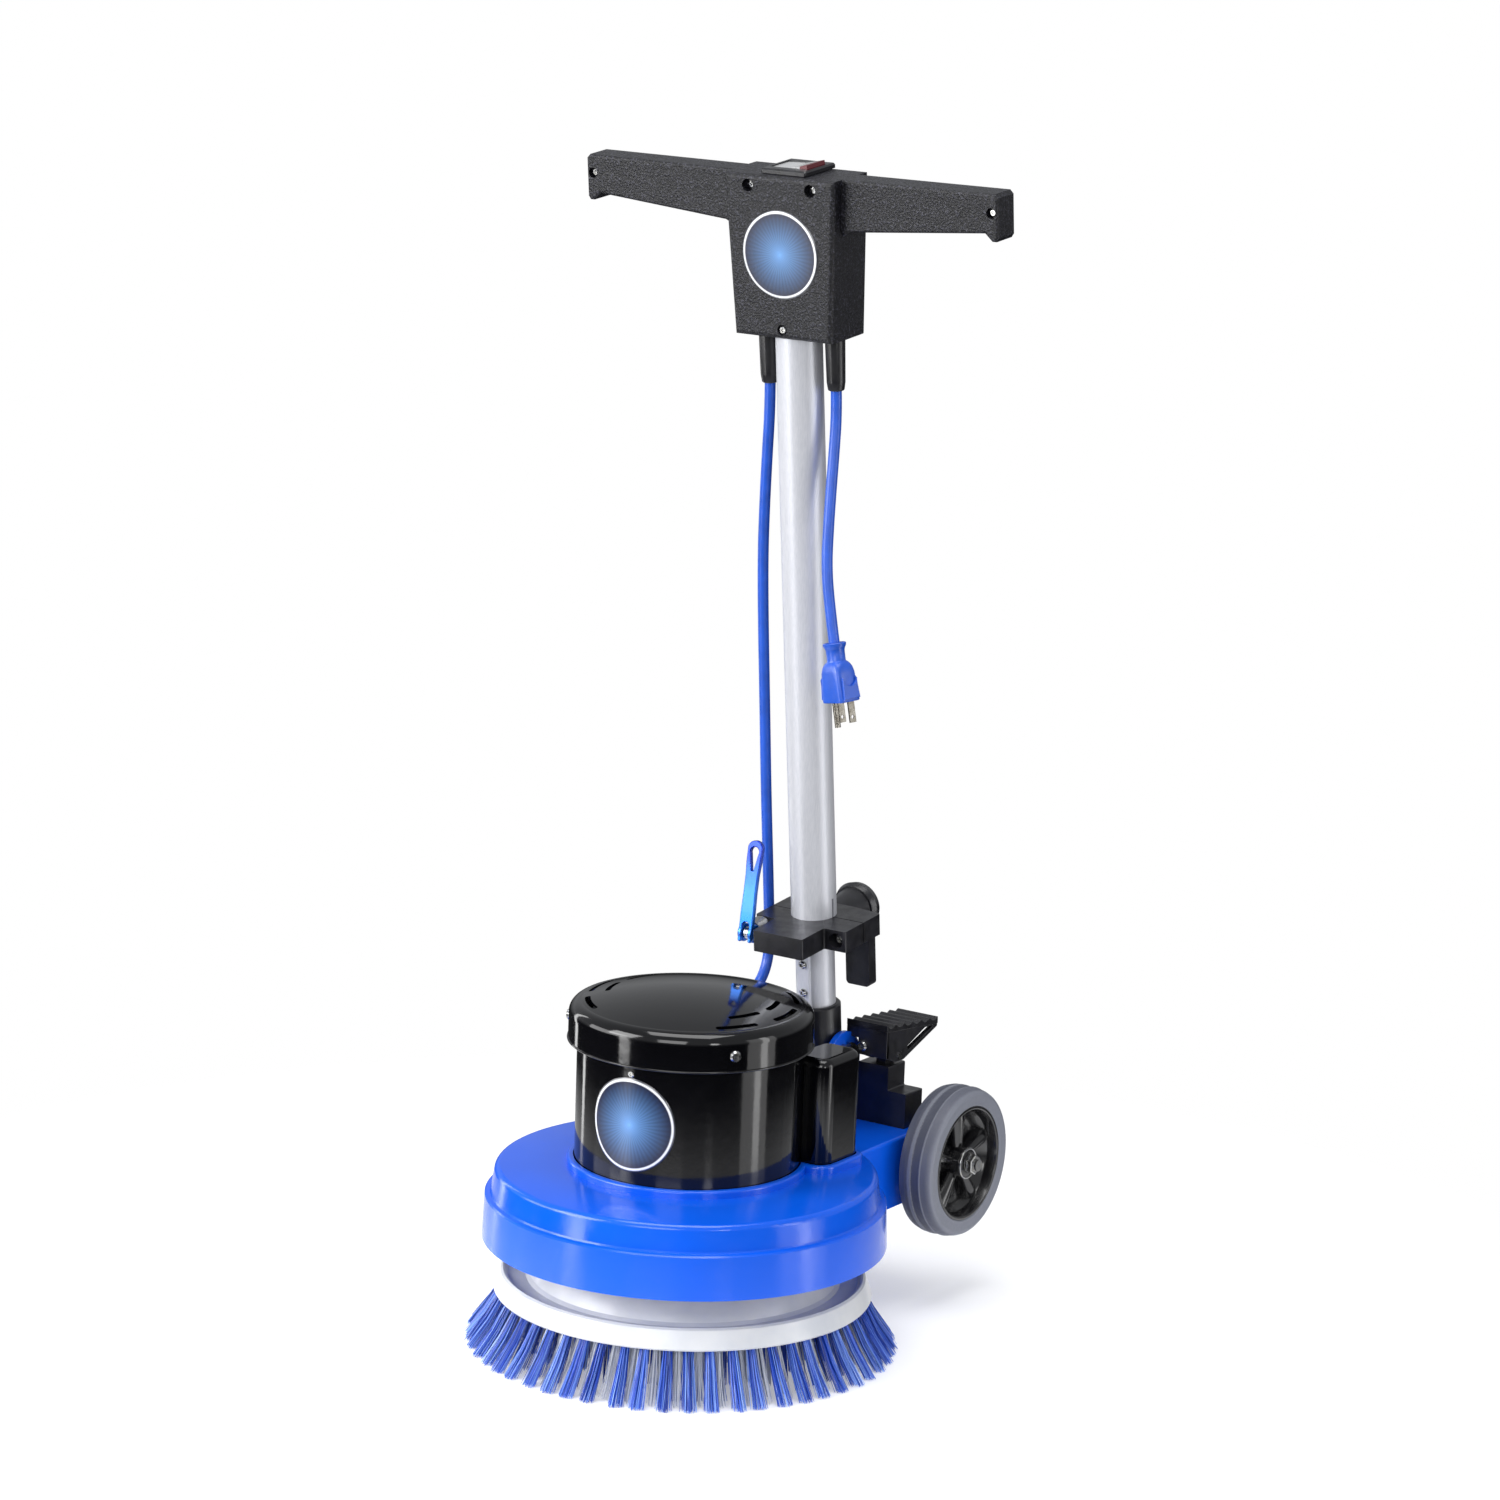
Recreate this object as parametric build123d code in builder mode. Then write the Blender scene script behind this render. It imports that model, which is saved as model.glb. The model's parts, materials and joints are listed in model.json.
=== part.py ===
"""Rotary floor machine, modelled in millimetres.

+Z is up and the floor is Z = 0, under the bristle tips. The brush turns about the Z axis, the front of
the machine is towards -Y and the operator stands at +Y, behind the wheels. The handle leans forward at
rest, so its pieces are modelled upright about their own tube, from the tilt pivot up, and are tipped when
they are written.
"""

from build123d import *
from math import asin, cos, pi, radians, sin, tan
import os

os.makedirs("parts", exist_ok=True)

# ---------------------------------------------------------------- driving dimensions
# Brush
BRISTLE_LENGTH = 43.0
BRUSH_RIM_R = 154.0
BRISTLE_TIP_R = 177.5
BRISTLE_ROOT_R = 150.0
BRUSH_TOP_Z = 77.0
# Deck housing
DECK_BOTTOM_Z = 88.0
DECK_LEDGE_Z = 124.0
DECK_EDGE_Z = 146.5
MOTOR_SEAT_Z = 150.0
DECK_SKIRT_R = 164.5
DECK_SHOULDER_R = 155.5
DECK_WALL = 4.0
TAIL_HALF_WIDTH = 87.0
TAIL_REAR_Y = 254.0
COLLAR_TOP_Z = 156.0
COLLAR_OUTER_R = 97.0
# Motor
CAN_R = 91.5
CAN_TOP_Z = 262.0
CAP_R = 99.0
CAP_RIM_Z = 253.0
CAP_SHOULDER_Z = 275.0
CAP_TOP_Z = 297.0
SHEET = 2.0
CAP_SCREW_Z = 267.0
CAP_SCREW_ANGLES = (-35.0, 85.0, -155.0)
# Capacitor cover, a rounded box beside the can
BOX_CENTRE = (81.5, 75.0)
BOX_SIZE = (39.0, 56.0)
BOX_TOP_Z = 243.0
BOX_CORNER_R = 12.0
# Planetary gearbox: sun 9, planets 27 and ring 63 teeth give 8 turns of the rotor to one of the brush
MODULE = 1.6
SUN_TEETH = 9
PLANET_TEETH = 27
RING_TEETH = 63
GEAR_BOTTOM_Z = 112.0
GEAR_TOP_Z = 128.0
PLANET_ORBIT_R = MODULE * (SUN_TEETH + PLANET_TEETH) / 2
PLANET_PIN_R = 6.0
OUTPUT_SHAFT_R = 11.0
ROTOR_SHAFT_R = 8.0
RUNNING_CLEARANCE = 0.05
# Wheels
WHEEL_R = 63.5
WHEEL_AXLE_YZ = (231.0, 121.0)
WHEEL_INNER_X = 95.0
WHEEL_WIDTH = 33.0
AXLE_R = 5.0
# Handle
LEAN_DEG = 6.48
PIVOT_YZ = (189.3, 201.0)
LOWER_TUBE_R = 16.4
UPPER_TUBE_R = 19.05
SOCKET_R = 20.5
SOCKET_TOP = 47.0
CLAMP_BOTTOM = 107.0
CLAMP_TOP = 125.0
UPPER_TUBE_FOOT = 113.0
HEAD_BOTTOM = 617.0
HEAD_TOP = 748.0
GRIP_HALF_SPAN = 195.0
EAR_INNER_X = 21.6
EAR_OUTER_X = 27.0
EAR_R = 24.0
PIVOT_SHAFT_R = 5.0
# Foot pedal and its bracket
PEDAL_PIN_YZ = (219.0, 205.0)
BRACKET_FRONT_Y = 206.0
BRACKET_REAR_Y = 232.0
# Cords
CORD_R = 4.5
RELIEF_X = 31.8
RELIEF_Y = 4.0
RELIEF_BOTTOM = 575.0
LEAD_SPLIT = 100.0

HANDLE_PLACE = Location((0, *PIVOT_YZ), (LEAN_DEG, 0, 0))
CARRIER_PIN_PLACES = [(PLANET_ORBIT_R, angle) for angle in (0, 120, 240)]


# ---------------------------------------------------------------- helpers
def write(piece, name, place=None):
    """Label one finished piece and write it, first moved to its place when it was modelled elsewhere."""
    solid = piece if place is None else piece.moved(place)
    solid.label = name
    export_step(solid, "parts/" + name + ".step")


def rod(radius, start, end):
    """Round bar from one point to another."""
    start, end = Vector(*start), Vector(*end)
    with BuildPart() as bar:
        with BuildSketch(Plane(origin=start, z_dir=end - start)):
            Circle(radius)
        extrude(amount=(end - start).length)
    return bar.part


def cone_rod(start_radius, end_radius, start, end):
    """Round bar that tapers from one radius to another."""
    start, end = Vector(*start), Vector(*end)
    length = (end - start).length
    foot = Plane(origin=start, z_dir=end - start)
    with BuildPart() as bar:
        with BuildSketch(foot):
            Circle(start_radius)
        with BuildSketch(foot.offset(length)):
            Circle(end_radius)
        loft()
    return bar.part


def screw(seat, outward, head_r, head_h, shank_r=0, shank_length=0, sides=0):
    """Screw with its head standing on the seat point: a round head with a cross slot, or a hexagon socket."""
    plane = Plane(origin=seat, z_dir=outward)
    with BuildPart() as piece:
        with BuildSketch(plane):
            Circle(head_r)
        extrude(amount=head_h * 0.5)
        with BuildSketch(plane.offset(head_h * 0.5)):
            Circle(head_r)
        extrude(amount=head_h * 0.5, taper=40)
        with BuildSketch(plane.offset(head_h)):
            if sides:
                RegularPolygon(head_r * 0.5, sides)
            else:
                Rectangle(head_r * 0.95, head_r * 0.26)
                Rectangle(head_r * 0.26, head_r * 0.95)
        extrude(amount=-head_h * 0.5, mode=Mode.SUBTRACT)
        if shank_r:
            with BuildSketch(plane):
                Circle(shank_r)
            extrude(amount=-shank_length)
    return piece.part


def hexagon_nut(start, end, across_flats, bore_r):
    """Hexagon nut along an axis, with a round bore."""
    start, end = Vector(*start), Vector(*end)
    plane = Plane(origin=start, z_dir=end - start)
    with BuildPart() as nut:
        with BuildSketch(plane):
            RegularPolygon(across_flats / 2, 6, major_radius=False)
            Circle(bore_r, mode=Mode.SUBTRACT)
        extrude(amount=(end - start).length)
    return nut.part


def gear_points(teeth, tip_r, root_r, tooth_width, tip_width, phase_deg):
    """Corner points of a straight-flanked gear; a tooth is centred on the phase angle."""
    points = []
    for index in range(teeth):
        centre = radians(phase_deg + 360.0 * index / teeth)
        for radius, half_width, side in (
            (root_r, tooth_width / 2, -1),
            (tip_r, tip_width / 2, -1),
            (tip_r, tip_width / 2, 1),
            (root_r, tooth_width / 2, 1),
        ):
            angle = centre + side * asin(half_width / radius)
            points.append((radius * cos(angle), radius * sin(angle)))
    return points


def cord(points, radii):
    """Tube of the cord's radius along straight runs joined by tangent arcs."""
    with BuildPart() as tube:
        with BuildLine() as path:
            FilletPolyline(*points, radius=radii)
        line = path.wires()[0]
        with BuildSketch(Plane(origin=line @ 0, z_dir=line % 0)):
            Circle(CORD_R)
        sweep(path=line)
    swept = pi * CORD_R**2 * line.length
    print("cord length", round(line.length, 1), "volume ratio", round(tube.part.volume / swept, 4))
    return tube.part


def arc_radii(points):
    """Radius of each corner's arc: as large as its two runs allow."""
    radii = []
    for before, corner, after in zip(points, points[1:], points[2:]):
        run_in = Vector(*corner) - Vector(*before)
        run_out = Vector(*after) - Vector(*corner)
        shorter = min(run_in.length, run_out.length)
        radii.append(0.45 * shorter / tan(radians(run_in.get_angle(run_out) / 2)))
    print("cord radii", [round(radius) for radius in radii])
    return radii


# ---------------------------------------------------------------- brush
with BuildPart() as brush_block:
    with BuildSketch(Plane.XZ):
        with BuildLine():
            Polyline(
                (12, BRISTLE_LENGTH),
                (BRUSH_RIM_R - 1, BRISTLE_LENGTH),
                (BRUSH_RIM_R, BRISTLE_LENGTH + 1.5),
                (148.5, 58.5),
                (146.5, 60),
                (144.5, 59.3),
                (142, 55.5),
                (128, 54.5),
                (125, 57),
                (117, 73),
                (111, BRUSH_TOP_Z),
                (62, BRUSH_TOP_Z),
                (62, 72),
                (12, 72),
                close=True,
            )
        make_face()
    revolve(axis=Axis.Z)
    with BuildSketch(Plane.XY.offset(72)):
        with PolarLocations(42, 3):
            Circle(7)
    extrude(amount=-12, mode=Mode.SUBTRACT)
write(brush_block.part, "brush_block")

with BuildPart() as outer_bristles:
    with BuildSketch(Plane.XZ):
        Polygon(
            (BRISTLE_ROOT_R - 9, BRISTLE_LENGTH),
            (BRISTLE_ROOT_R, BRISTLE_LENGTH),
            (BRISTLE_TIP_R, 0),
            (BRISTLE_TIP_R - 15, 0),
            align=None,
        )
    revolve(axis=Axis.Z)
write(outer_bristles.part, "outer_bristles")

with BuildPart() as inner_bristles:
    for inner, outer in ((60, 72), (84, 96), (108, 120), (128, 139)):
        with BuildSketch():
            Circle(outer)
            Circle(inner, mode=Mode.SUBTRACT)
        extrude(amount=BRISTLE_LENGTH)
write(inner_bristles.part, "inner_bristles")

with BuildPart() as brush_driver:
    with BuildSketch(Plane.XY.offset(72)):
        Circle(58)
        Circle(OUTPUT_SHAFT_R, mode=Mode.SUBTRACT)
    extrude(amount=10)
    top_circles = brush_driver.edges().filter_by(GeomType.CIRCLE).group_by(Axis.Z)[-1]
    chamfer(top_circles.sort_by(SortBy.RADIUS)[-1:], 2)
    with BuildSketch(Plane.XY.offset(72)):
        with PolarLocations(42, 3):
            Circle(6.7)
    extrude(amount=-9)
write(brush_driver.part, "brush_driver")

# ---------------------------------------------------------------- gearbox
CARRIER_TOP_Z = 109.0
with BuildPart() as planet_carrier:
    with BuildSketch(Plane.XY.offset(CARRIER_TOP_Z - 5)):
        Circle(44)
    extrude(amount=5)
    with BuildSketch(Plane.XY.offset(72)):
        Circle(OUTPUT_SHAFT_R)
    extrude(amount=CARRIER_TOP_Z - 72)
    with BuildSketch(Plane.XY.offset(CARRIER_TOP_Z - 1)):
        with PolarLocations(PLANET_ORBIT_R, 3):
            Circle(PLANET_PIN_R)
    extrude(amount=GEAR_TOP_Z + 2 - CARRIER_TOP_Z + 1)
write(planet_carrier.part, "planet_carrier")

TOOTH = 0.40 * pi * MODULE
ADDENDUM = 0.8 * MODULE
DEDENDUM = 1.15 * MODULE
for number, (orbit, angle) in enumerate(CARRIER_PIN_PLACES, start=1):
    centre = Location((orbit * cos(radians(angle)), orbit * sin(radians(angle)), 0))
    with BuildPart() as planet_gear:
        with BuildSketch(Plane.XY.offset(GEAR_BOTTOM_Z)):
            Polygon(
                *gear_points(
                    PLANET_TEETH,
                    MODULE * PLANET_TEETH / 2 + ADDENDUM,
                    MODULE * PLANET_TEETH / 2 - DEDENDUM,
                    TOOTH * 1.45,
                    TOOTH * 0.60,
                    0,
                ),
                align=None,
            )
            Circle(PLANET_PIN_R + RUNNING_CLEARANCE, mode=Mode.SUBTRACT)
        extrude(amount=GEAR_TOP_Z - GEAR_BOTTOM_Z)
    write(planet_gear.part, "planet_gear_" + str(number), centre)

RING_OUTER_R = 60.0
with BuildPart() as ring_gear:
    with BuildSketch(Plane.XY.offset(GEAR_BOTTOM_Z)):
        Circle(RING_OUTER_R)
        Polygon(
            *gear_points(
                RING_TEETH,
                MODULE * RING_TEETH / 2 + DEDENDUM,
                MODULE * RING_TEETH / 2 - ADDENDUM,
                pi * MODULE - TOOTH * 0.60,
                pi * MODULE - TOOTH * 1.45,
                0,
            ),
            align=None,
            mode=Mode.SUBTRACT,
        )
    extrude(amount=GEAR_TOP_Z - GEAR_BOTTOM_Z)
write(ring_gear.part, "ring_gear")

with BuildPart() as gear_case:
    with BuildSketch(Plane.XY.offset(99)):
        Circle(RING_OUTER_R + 5)
    extrude(amount=142 - 99)
    with BuildSketch(Plane.XY.offset(138)):
        Circle(RING_OUTER_R + 12)
    extrude(amount=4)
    with BuildSketch(Plane.XY.offset(91)):
        Circle(28)
    extrude(amount=8)
    with BuildSketch(Plane.XY.offset(103)):
        Circle(RING_OUTER_R)
    extrude(amount=142 - 103, mode=Mode.SUBTRACT)
    with BuildSketch(Plane.XY.offset(91)):
        Circle(22)
    extrude(amount=12, mode=Mode.SUBTRACT)
    with BuildSketch(Plane.XY.offset(91)):
        Circle(28)
        Circle(18, mode=Mode.SUBTRACT)
    extrude(amount=1.5)
write(gear_case.part, "gear_case")

# ---------------------------------------------------------------- motor
with BuildPart() as motor_base_plate:
    with BuildSketch(Plane.XY.offset(142)):
        Circle(62)
    extrude(amount=8)
    with BuildSketch(Plane.XY.offset(MOTOR_SEAT_Z)):
        Circle(CAN_R - SHEET)
    extrude(amount=4)
    with BuildSketch(Plane.XY.offset(154)):
        Circle(24)
    extrude(amount=8)
    with BuildSketch(Plane.XY.offset(142)):
        Circle(ROTOR_SHAFT_R + 1.5)
    extrude(amount=20, mode=Mode.SUBTRACT)
    with BuildSketch(Plane.XY.offset(150)):
        Circle(20)
    extrude(amount=12, mode=Mode.SUBTRACT)
write(motor_base_plate.part, "motor_base_plate")

with BuildPart() as motor_can:
    with BuildSketch(Plane.XY.offset(MOTOR_SEAT_Z)):
        Circle(CAN_R)
        Circle(CAN_R - SHEET, mode=Mode.SUBTRACT)
    extrude(amount=CAN_TOP_Z - MOTOR_SEAT_Z)
write(motor_can.part, "motor_can")

STATOR_Z = (166.0, 236.0)
with BuildPart() as stator:
    with BuildSketch(Plane.XY.offset(STATOR_Z[0])):
        Circle(CAN_R - SHEET)
        Circle(46.5, mode=Mode.SUBTRACT)
        with PolarLocations(58, 24):
            Rectangle(18, 5.5, mode=Mode.SUBTRACT)
    extrude(amount=STATOR_Z[1] - STATOR_Z[0])
    for low, high in ((STATOR_Z[0] - 8, STATOR_Z[0]), STATOR_Z[1:] + (STATOR_Z[1] + 8,)):
        with BuildSketch(Plane.XY.offset(low)):
            Circle(72)
            Circle(52, mode=Mode.SUBTRACT)
        extrude(amount=high - low)
write(stator.part, "stator")

with BuildPart() as rotor_core:
    with BuildSketch(Plane.XY.offset(STATOR_Z[0])):
        Circle(45.5)
        Circle(ROTOR_SHAFT_R, mode=Mode.SUBTRACT)
    extrude(amount=STATOR_Z[1] - STATOR_Z[0])
write(rotor_core.part, "rotor_core")

with BuildPart() as rotor_shaft:
    with BuildSketch(Plane.XY.offset(GEAR_TOP_Z + 3)):
        Circle(ROTOR_SHAFT_R - 1.5)
    extrude(amount=150 - GEAR_TOP_Z - 3)
    with BuildSketch(Plane.XY.offset(150)):
        Circle(ROTOR_SHAFT_R)
    extrude(amount=282 - 150)
    with BuildSketch(Plane.XY.offset(GEAR_BOTTOM_Z + 1)):
        Polygon(
            *gear_points(
                SUN_TEETH,
                MODULE * SUN_TEETH / 2 + ADDENDUM,
                MODULE * SUN_TEETH / 2 - DEDENDUM,
                TOOTH * 1.35,
                TOOTH * 0.45,
                0,
            ),
            align=None,
        )
    extrude(amount=GEAR_TOP_Z + 3 - GEAR_BOTTOM_Z - 1)
write(rotor_shaft.part, "rotor_shaft")

with BuildPart() as end_bell:
    with BuildSketch(Plane.XY.offset(CAN_TOP_Z)):
        Circle(CAN_R)
        with PolarLocations(62, 8):
            Circle(13, mode=Mode.SUBTRACT)
    extrude(amount=4)
    with BuildSketch(Plane.XY.offset(CAN_TOP_Z)):
        for lug_angle in CAP_SCREW_ANGLES:
            with Locations(Location((0, 0, 0), (0, 0, lug_angle))):
                with Locations((CAN_R - 1.5, 0)):
                    Rectangle(10.4, 14)
    extrude(amount=10)
    with BuildSketch(Plane.XY.offset(250)):
        Circle(24)
    extrude(amount=12)
    with BuildSketch(Plane.XY.offset(250)):
        Circle(20)
    extrude(amount=12, mode=Mode.SUBTRACT)
    with BuildSketch(Plane.XY.offset(250)):
        Circle(ROTOR_SHAFT_R + 1.5)
    extrude(amount=20, mode=Mode.SUBTRACT)
write(end_bell.part, "end_bell")

with BuildPart() as bearings:
    for low, outer, inner, height in (
        (150.0, 20.0, ROTOR_SHAFT_R, 12.0),
        (250.0, 20.0, ROTOR_SHAFT_R, 12.0),
        (92.5, 22.0, OUTPUT_SHAFT_R, 10.5),
    ):
        with BuildSketch(Plane.XY.offset(low)):
            Circle(outer)
            Circle(inner + RUNNING_CLEARANCE, mode=Mode.SUBTRACT)
        extrude(amount=height)
write(bearings.part, "bearings")

with BuildPart() as cooling_fan:
    with BuildSketch(Plane.XY.offset(272)):
        Circle(15)
        Circle(ROTOR_SHAFT_R, mode=Mode.SUBTRACT)
    extrude(amount=9)
    with BuildSketch(Plane.XY.offset(273)):
        with PolarLocations(44, 9, start_angle=10):
            Rectangle(64, 2.2, rotation=18)
    extrude(amount=6)
    with BuildSketch(Plane.XY.offset(272)):
        Circle(76)
        Circle(10, mode=Mode.SUBTRACT)
    extrude(amount=1.5)
write(cooling_fan.part, "cooling_fan")


def cap_profile(inset):
    """Half section of the cap's outside, moved in by the inset and closed on the axis."""
    shoulder = 10.0 - inset
    wall_r = CAP_R - inset
    dome_r = CAP_R - 10.0
    dome_z = CAP_SHOULDER_Z + shoulder
    top_z = CAP_TOP_Z - inset
    rise = top_z - dome_z
    sphere_r = (dome_r**2 + rise**2) / (2 * rise)
    half = radians(45)
    with BuildLine() as outline:
        Line((0, CAP_RIM_Z), (wall_r, CAP_RIM_Z))
        Line((wall_r, CAP_RIM_Z), (wall_r, CAP_SHOULDER_Z))
        ThreePointArc(
            (wall_r, CAP_SHOULDER_Z),
            (dome_r + shoulder * cos(half), CAP_SHOULDER_Z + shoulder * sin(half)),
            (dome_r, dome_z),
        )
        mid_z = top_z - sphere_r + (sphere_r**2 - (dome_r / 2) ** 2) ** 0.5
        ThreePointArc((dome_r, dome_z), (dome_r / 2, mid_z), (0, top_z))
        Line((0, top_z), (0, CAP_RIM_Z))
    return outline.line


# The lead enters the cap's wall through a grommet, which points along the lead's last run
GROMMET_MOUTH = (-46.3, 95.0, 258.4)
LEAD_LAST_BEND = (-46.5, 110.8, 254.4)
grommet_run = Vector(*GROMMET_MOUTH) - Vector(*LEAD_LAST_BEND)
GROMMET_ROOT = Vector(*GROMMET_MOUTH) + grommet_run * 0.58
GROMMET_HOLE_R = 5.2

VENT_OUTER_R = 84.0
VENT_INNER_R = 69.0
with BuildPart() as motor_cap:
    with BuildSketch(Plane.XZ):
        make_face(cap_profile(0).edges())
    revolve(axis=Axis.Z)
    with BuildSketch(Plane.XZ):
        make_face(cap_profile(SHEET).edges())
    revolve(axis=Axis.Z, mode=Mode.SUBTRACT)
    with BuildSketch(Plane.XY.offset(CAP_TOP_Z)):
        for side in (0, 180):
            for radius, middle, width in (
                (VENT_OUTER_R, -30, 22),
                (VENT_OUTER_R, 9, 24),
                (VENT_OUTER_R, 46, 22),
                (VENT_INNER_R, -18, 22),
                (VENT_INNER_R, 16, 20),
            ):
                start = side + middle - width / 2
                SlotArc(CenterArc((0, 0), radius, start, width), 4.6)
    extrude(amount=-(CAP_TOP_Z - CAP_SHOULDER_Z), mode=Mode.SUBTRACT)
    for angle in CAP_SCREW_ANGLES:
        direction = Vector(cos(radians(angle)), sin(radians(angle)), 0)
        height = Vector(0, 0, CAP_SCREW_Z)
        add(
            rod(2.2, direction * (CAP_R - 6) + height, direction * (CAP_R + 3) + height),
            mode=Mode.SUBTRACT,
        )
    add(rod(GROMMET_HOLE_R, GROMMET_ROOT, GROMMET_MOUTH), mode=Mode.SUBTRACT)
write(motor_cap.part, "motor_cap")

CAN_SCREW_ANGLE = -86.0
CAN_SCREW_Z = 245.8
with BuildPart() as motor_screws:
    for angle in CAP_SCREW_ANGLES:
        direction = Vector(cos(radians(angle)), sin(radians(angle)), 0)
        add(screw(direction * CAP_R + Vector(0, 0, CAP_SCREW_Z), direction, 4.6, 3.0, 2.0, 2.0))
    direction = Vector(cos(radians(CAN_SCREW_ANGLE)), sin(radians(CAN_SCREW_ANGLE)), 0)
    add(screw(direction * (CAN_R + 0.02) + Vector(0, 0, CAN_SCREW_Z), direction, 2.8, 1.4))
write(motor_screws.part, "motor_screws")

BADGE_ANGLE = -86.0
CAN_BADGE_R = 38.5
badge_front = Vector(cos(radians(BADGE_ANGLE)), sin(radians(BADGE_ANGLE)), 0)
with BuildPart() as motor_badge:
    with BuildSketch(Plane.XY.offset(160)):
        Circle(CAN_R + 0.6)
        Circle(CAN_R + 0.02, mode=Mode.SUBTRACT)
    extrude(amount=90)
    with BuildSketch(Plane(origin=Vector(0, 0, 204) + badge_front * 40, z_dir=badge_front)):
        Circle(CAN_BADGE_R)
    extrude(amount=60, mode=Mode.INTERSECT)
write(motor_badge.part, "motor_badge")

with BuildPart() as lead_grommet:
    add(cone_rod(7.5, 5.8, GROMMET_ROOT, GROMMET_MOUTH))
    with BuildSketch(Plane.XY.offset(CAP_RIM_Z - 10)):
        Circle(CAP_R)
    extrude(amount=60, mode=Mode.SUBTRACT)
    add(rod(GROMMET_HOLE_R, GROMMET_ROOT, GROMMET_MOUTH))
write(lead_grommet.part, "lead_grommet")

# ---------------------------------------------------------------- capacitor
with BuildPart() as capacitor_cover:
    with BuildSketch(Plane.XY.offset(MOTOR_SEAT_Z)):
        with Locations(BOX_CENTRE):
            RectangleRounded(*BOX_SIZE, BOX_CORNER_R)
    extrude(amount=BOX_TOP_Z - MOTOR_SEAT_Z)
    fillet(capacitor_cover.faces().sort_by(Axis.Z)[-1].edges(), 7)
    with BuildSketch(Plane.XY.offset(MOTOR_SEAT_Z)):
        with Locations(BOX_CENTRE):
            RectangleRounded(BOX_SIZE[0] - 5, BOX_SIZE[1] - 5, BOX_CORNER_R - 2.5)
    extrude(amount=BOX_TOP_Z - MOTOR_SEAT_Z - 3, mode=Mode.SUBTRACT)
    with BuildSketch(Plane.XY.offset(MOTOR_SEAT_Z)):
        Circle(CAN_R + 0.1)
    extrude(amount=BOX_TOP_Z, mode=Mode.SUBTRACT)
write(capacitor_cover.part, "capacitor_cover")

CAPACITOR_CENTRE = (84.0, 77.0)
with BuildPart() as capacitor:
    with BuildSketch(Plane.XY.offset(MOTOR_SEAT_Z + 1)):
        with Locations(CAPACITOR_CENTRE):
            Circle(14)
    extrude(amount=76)
    chamfer(capacitor.faces().sort_by(Axis.Z)[-1].edges(), 2)
write(capacitor.part, "capacitor")

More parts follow.
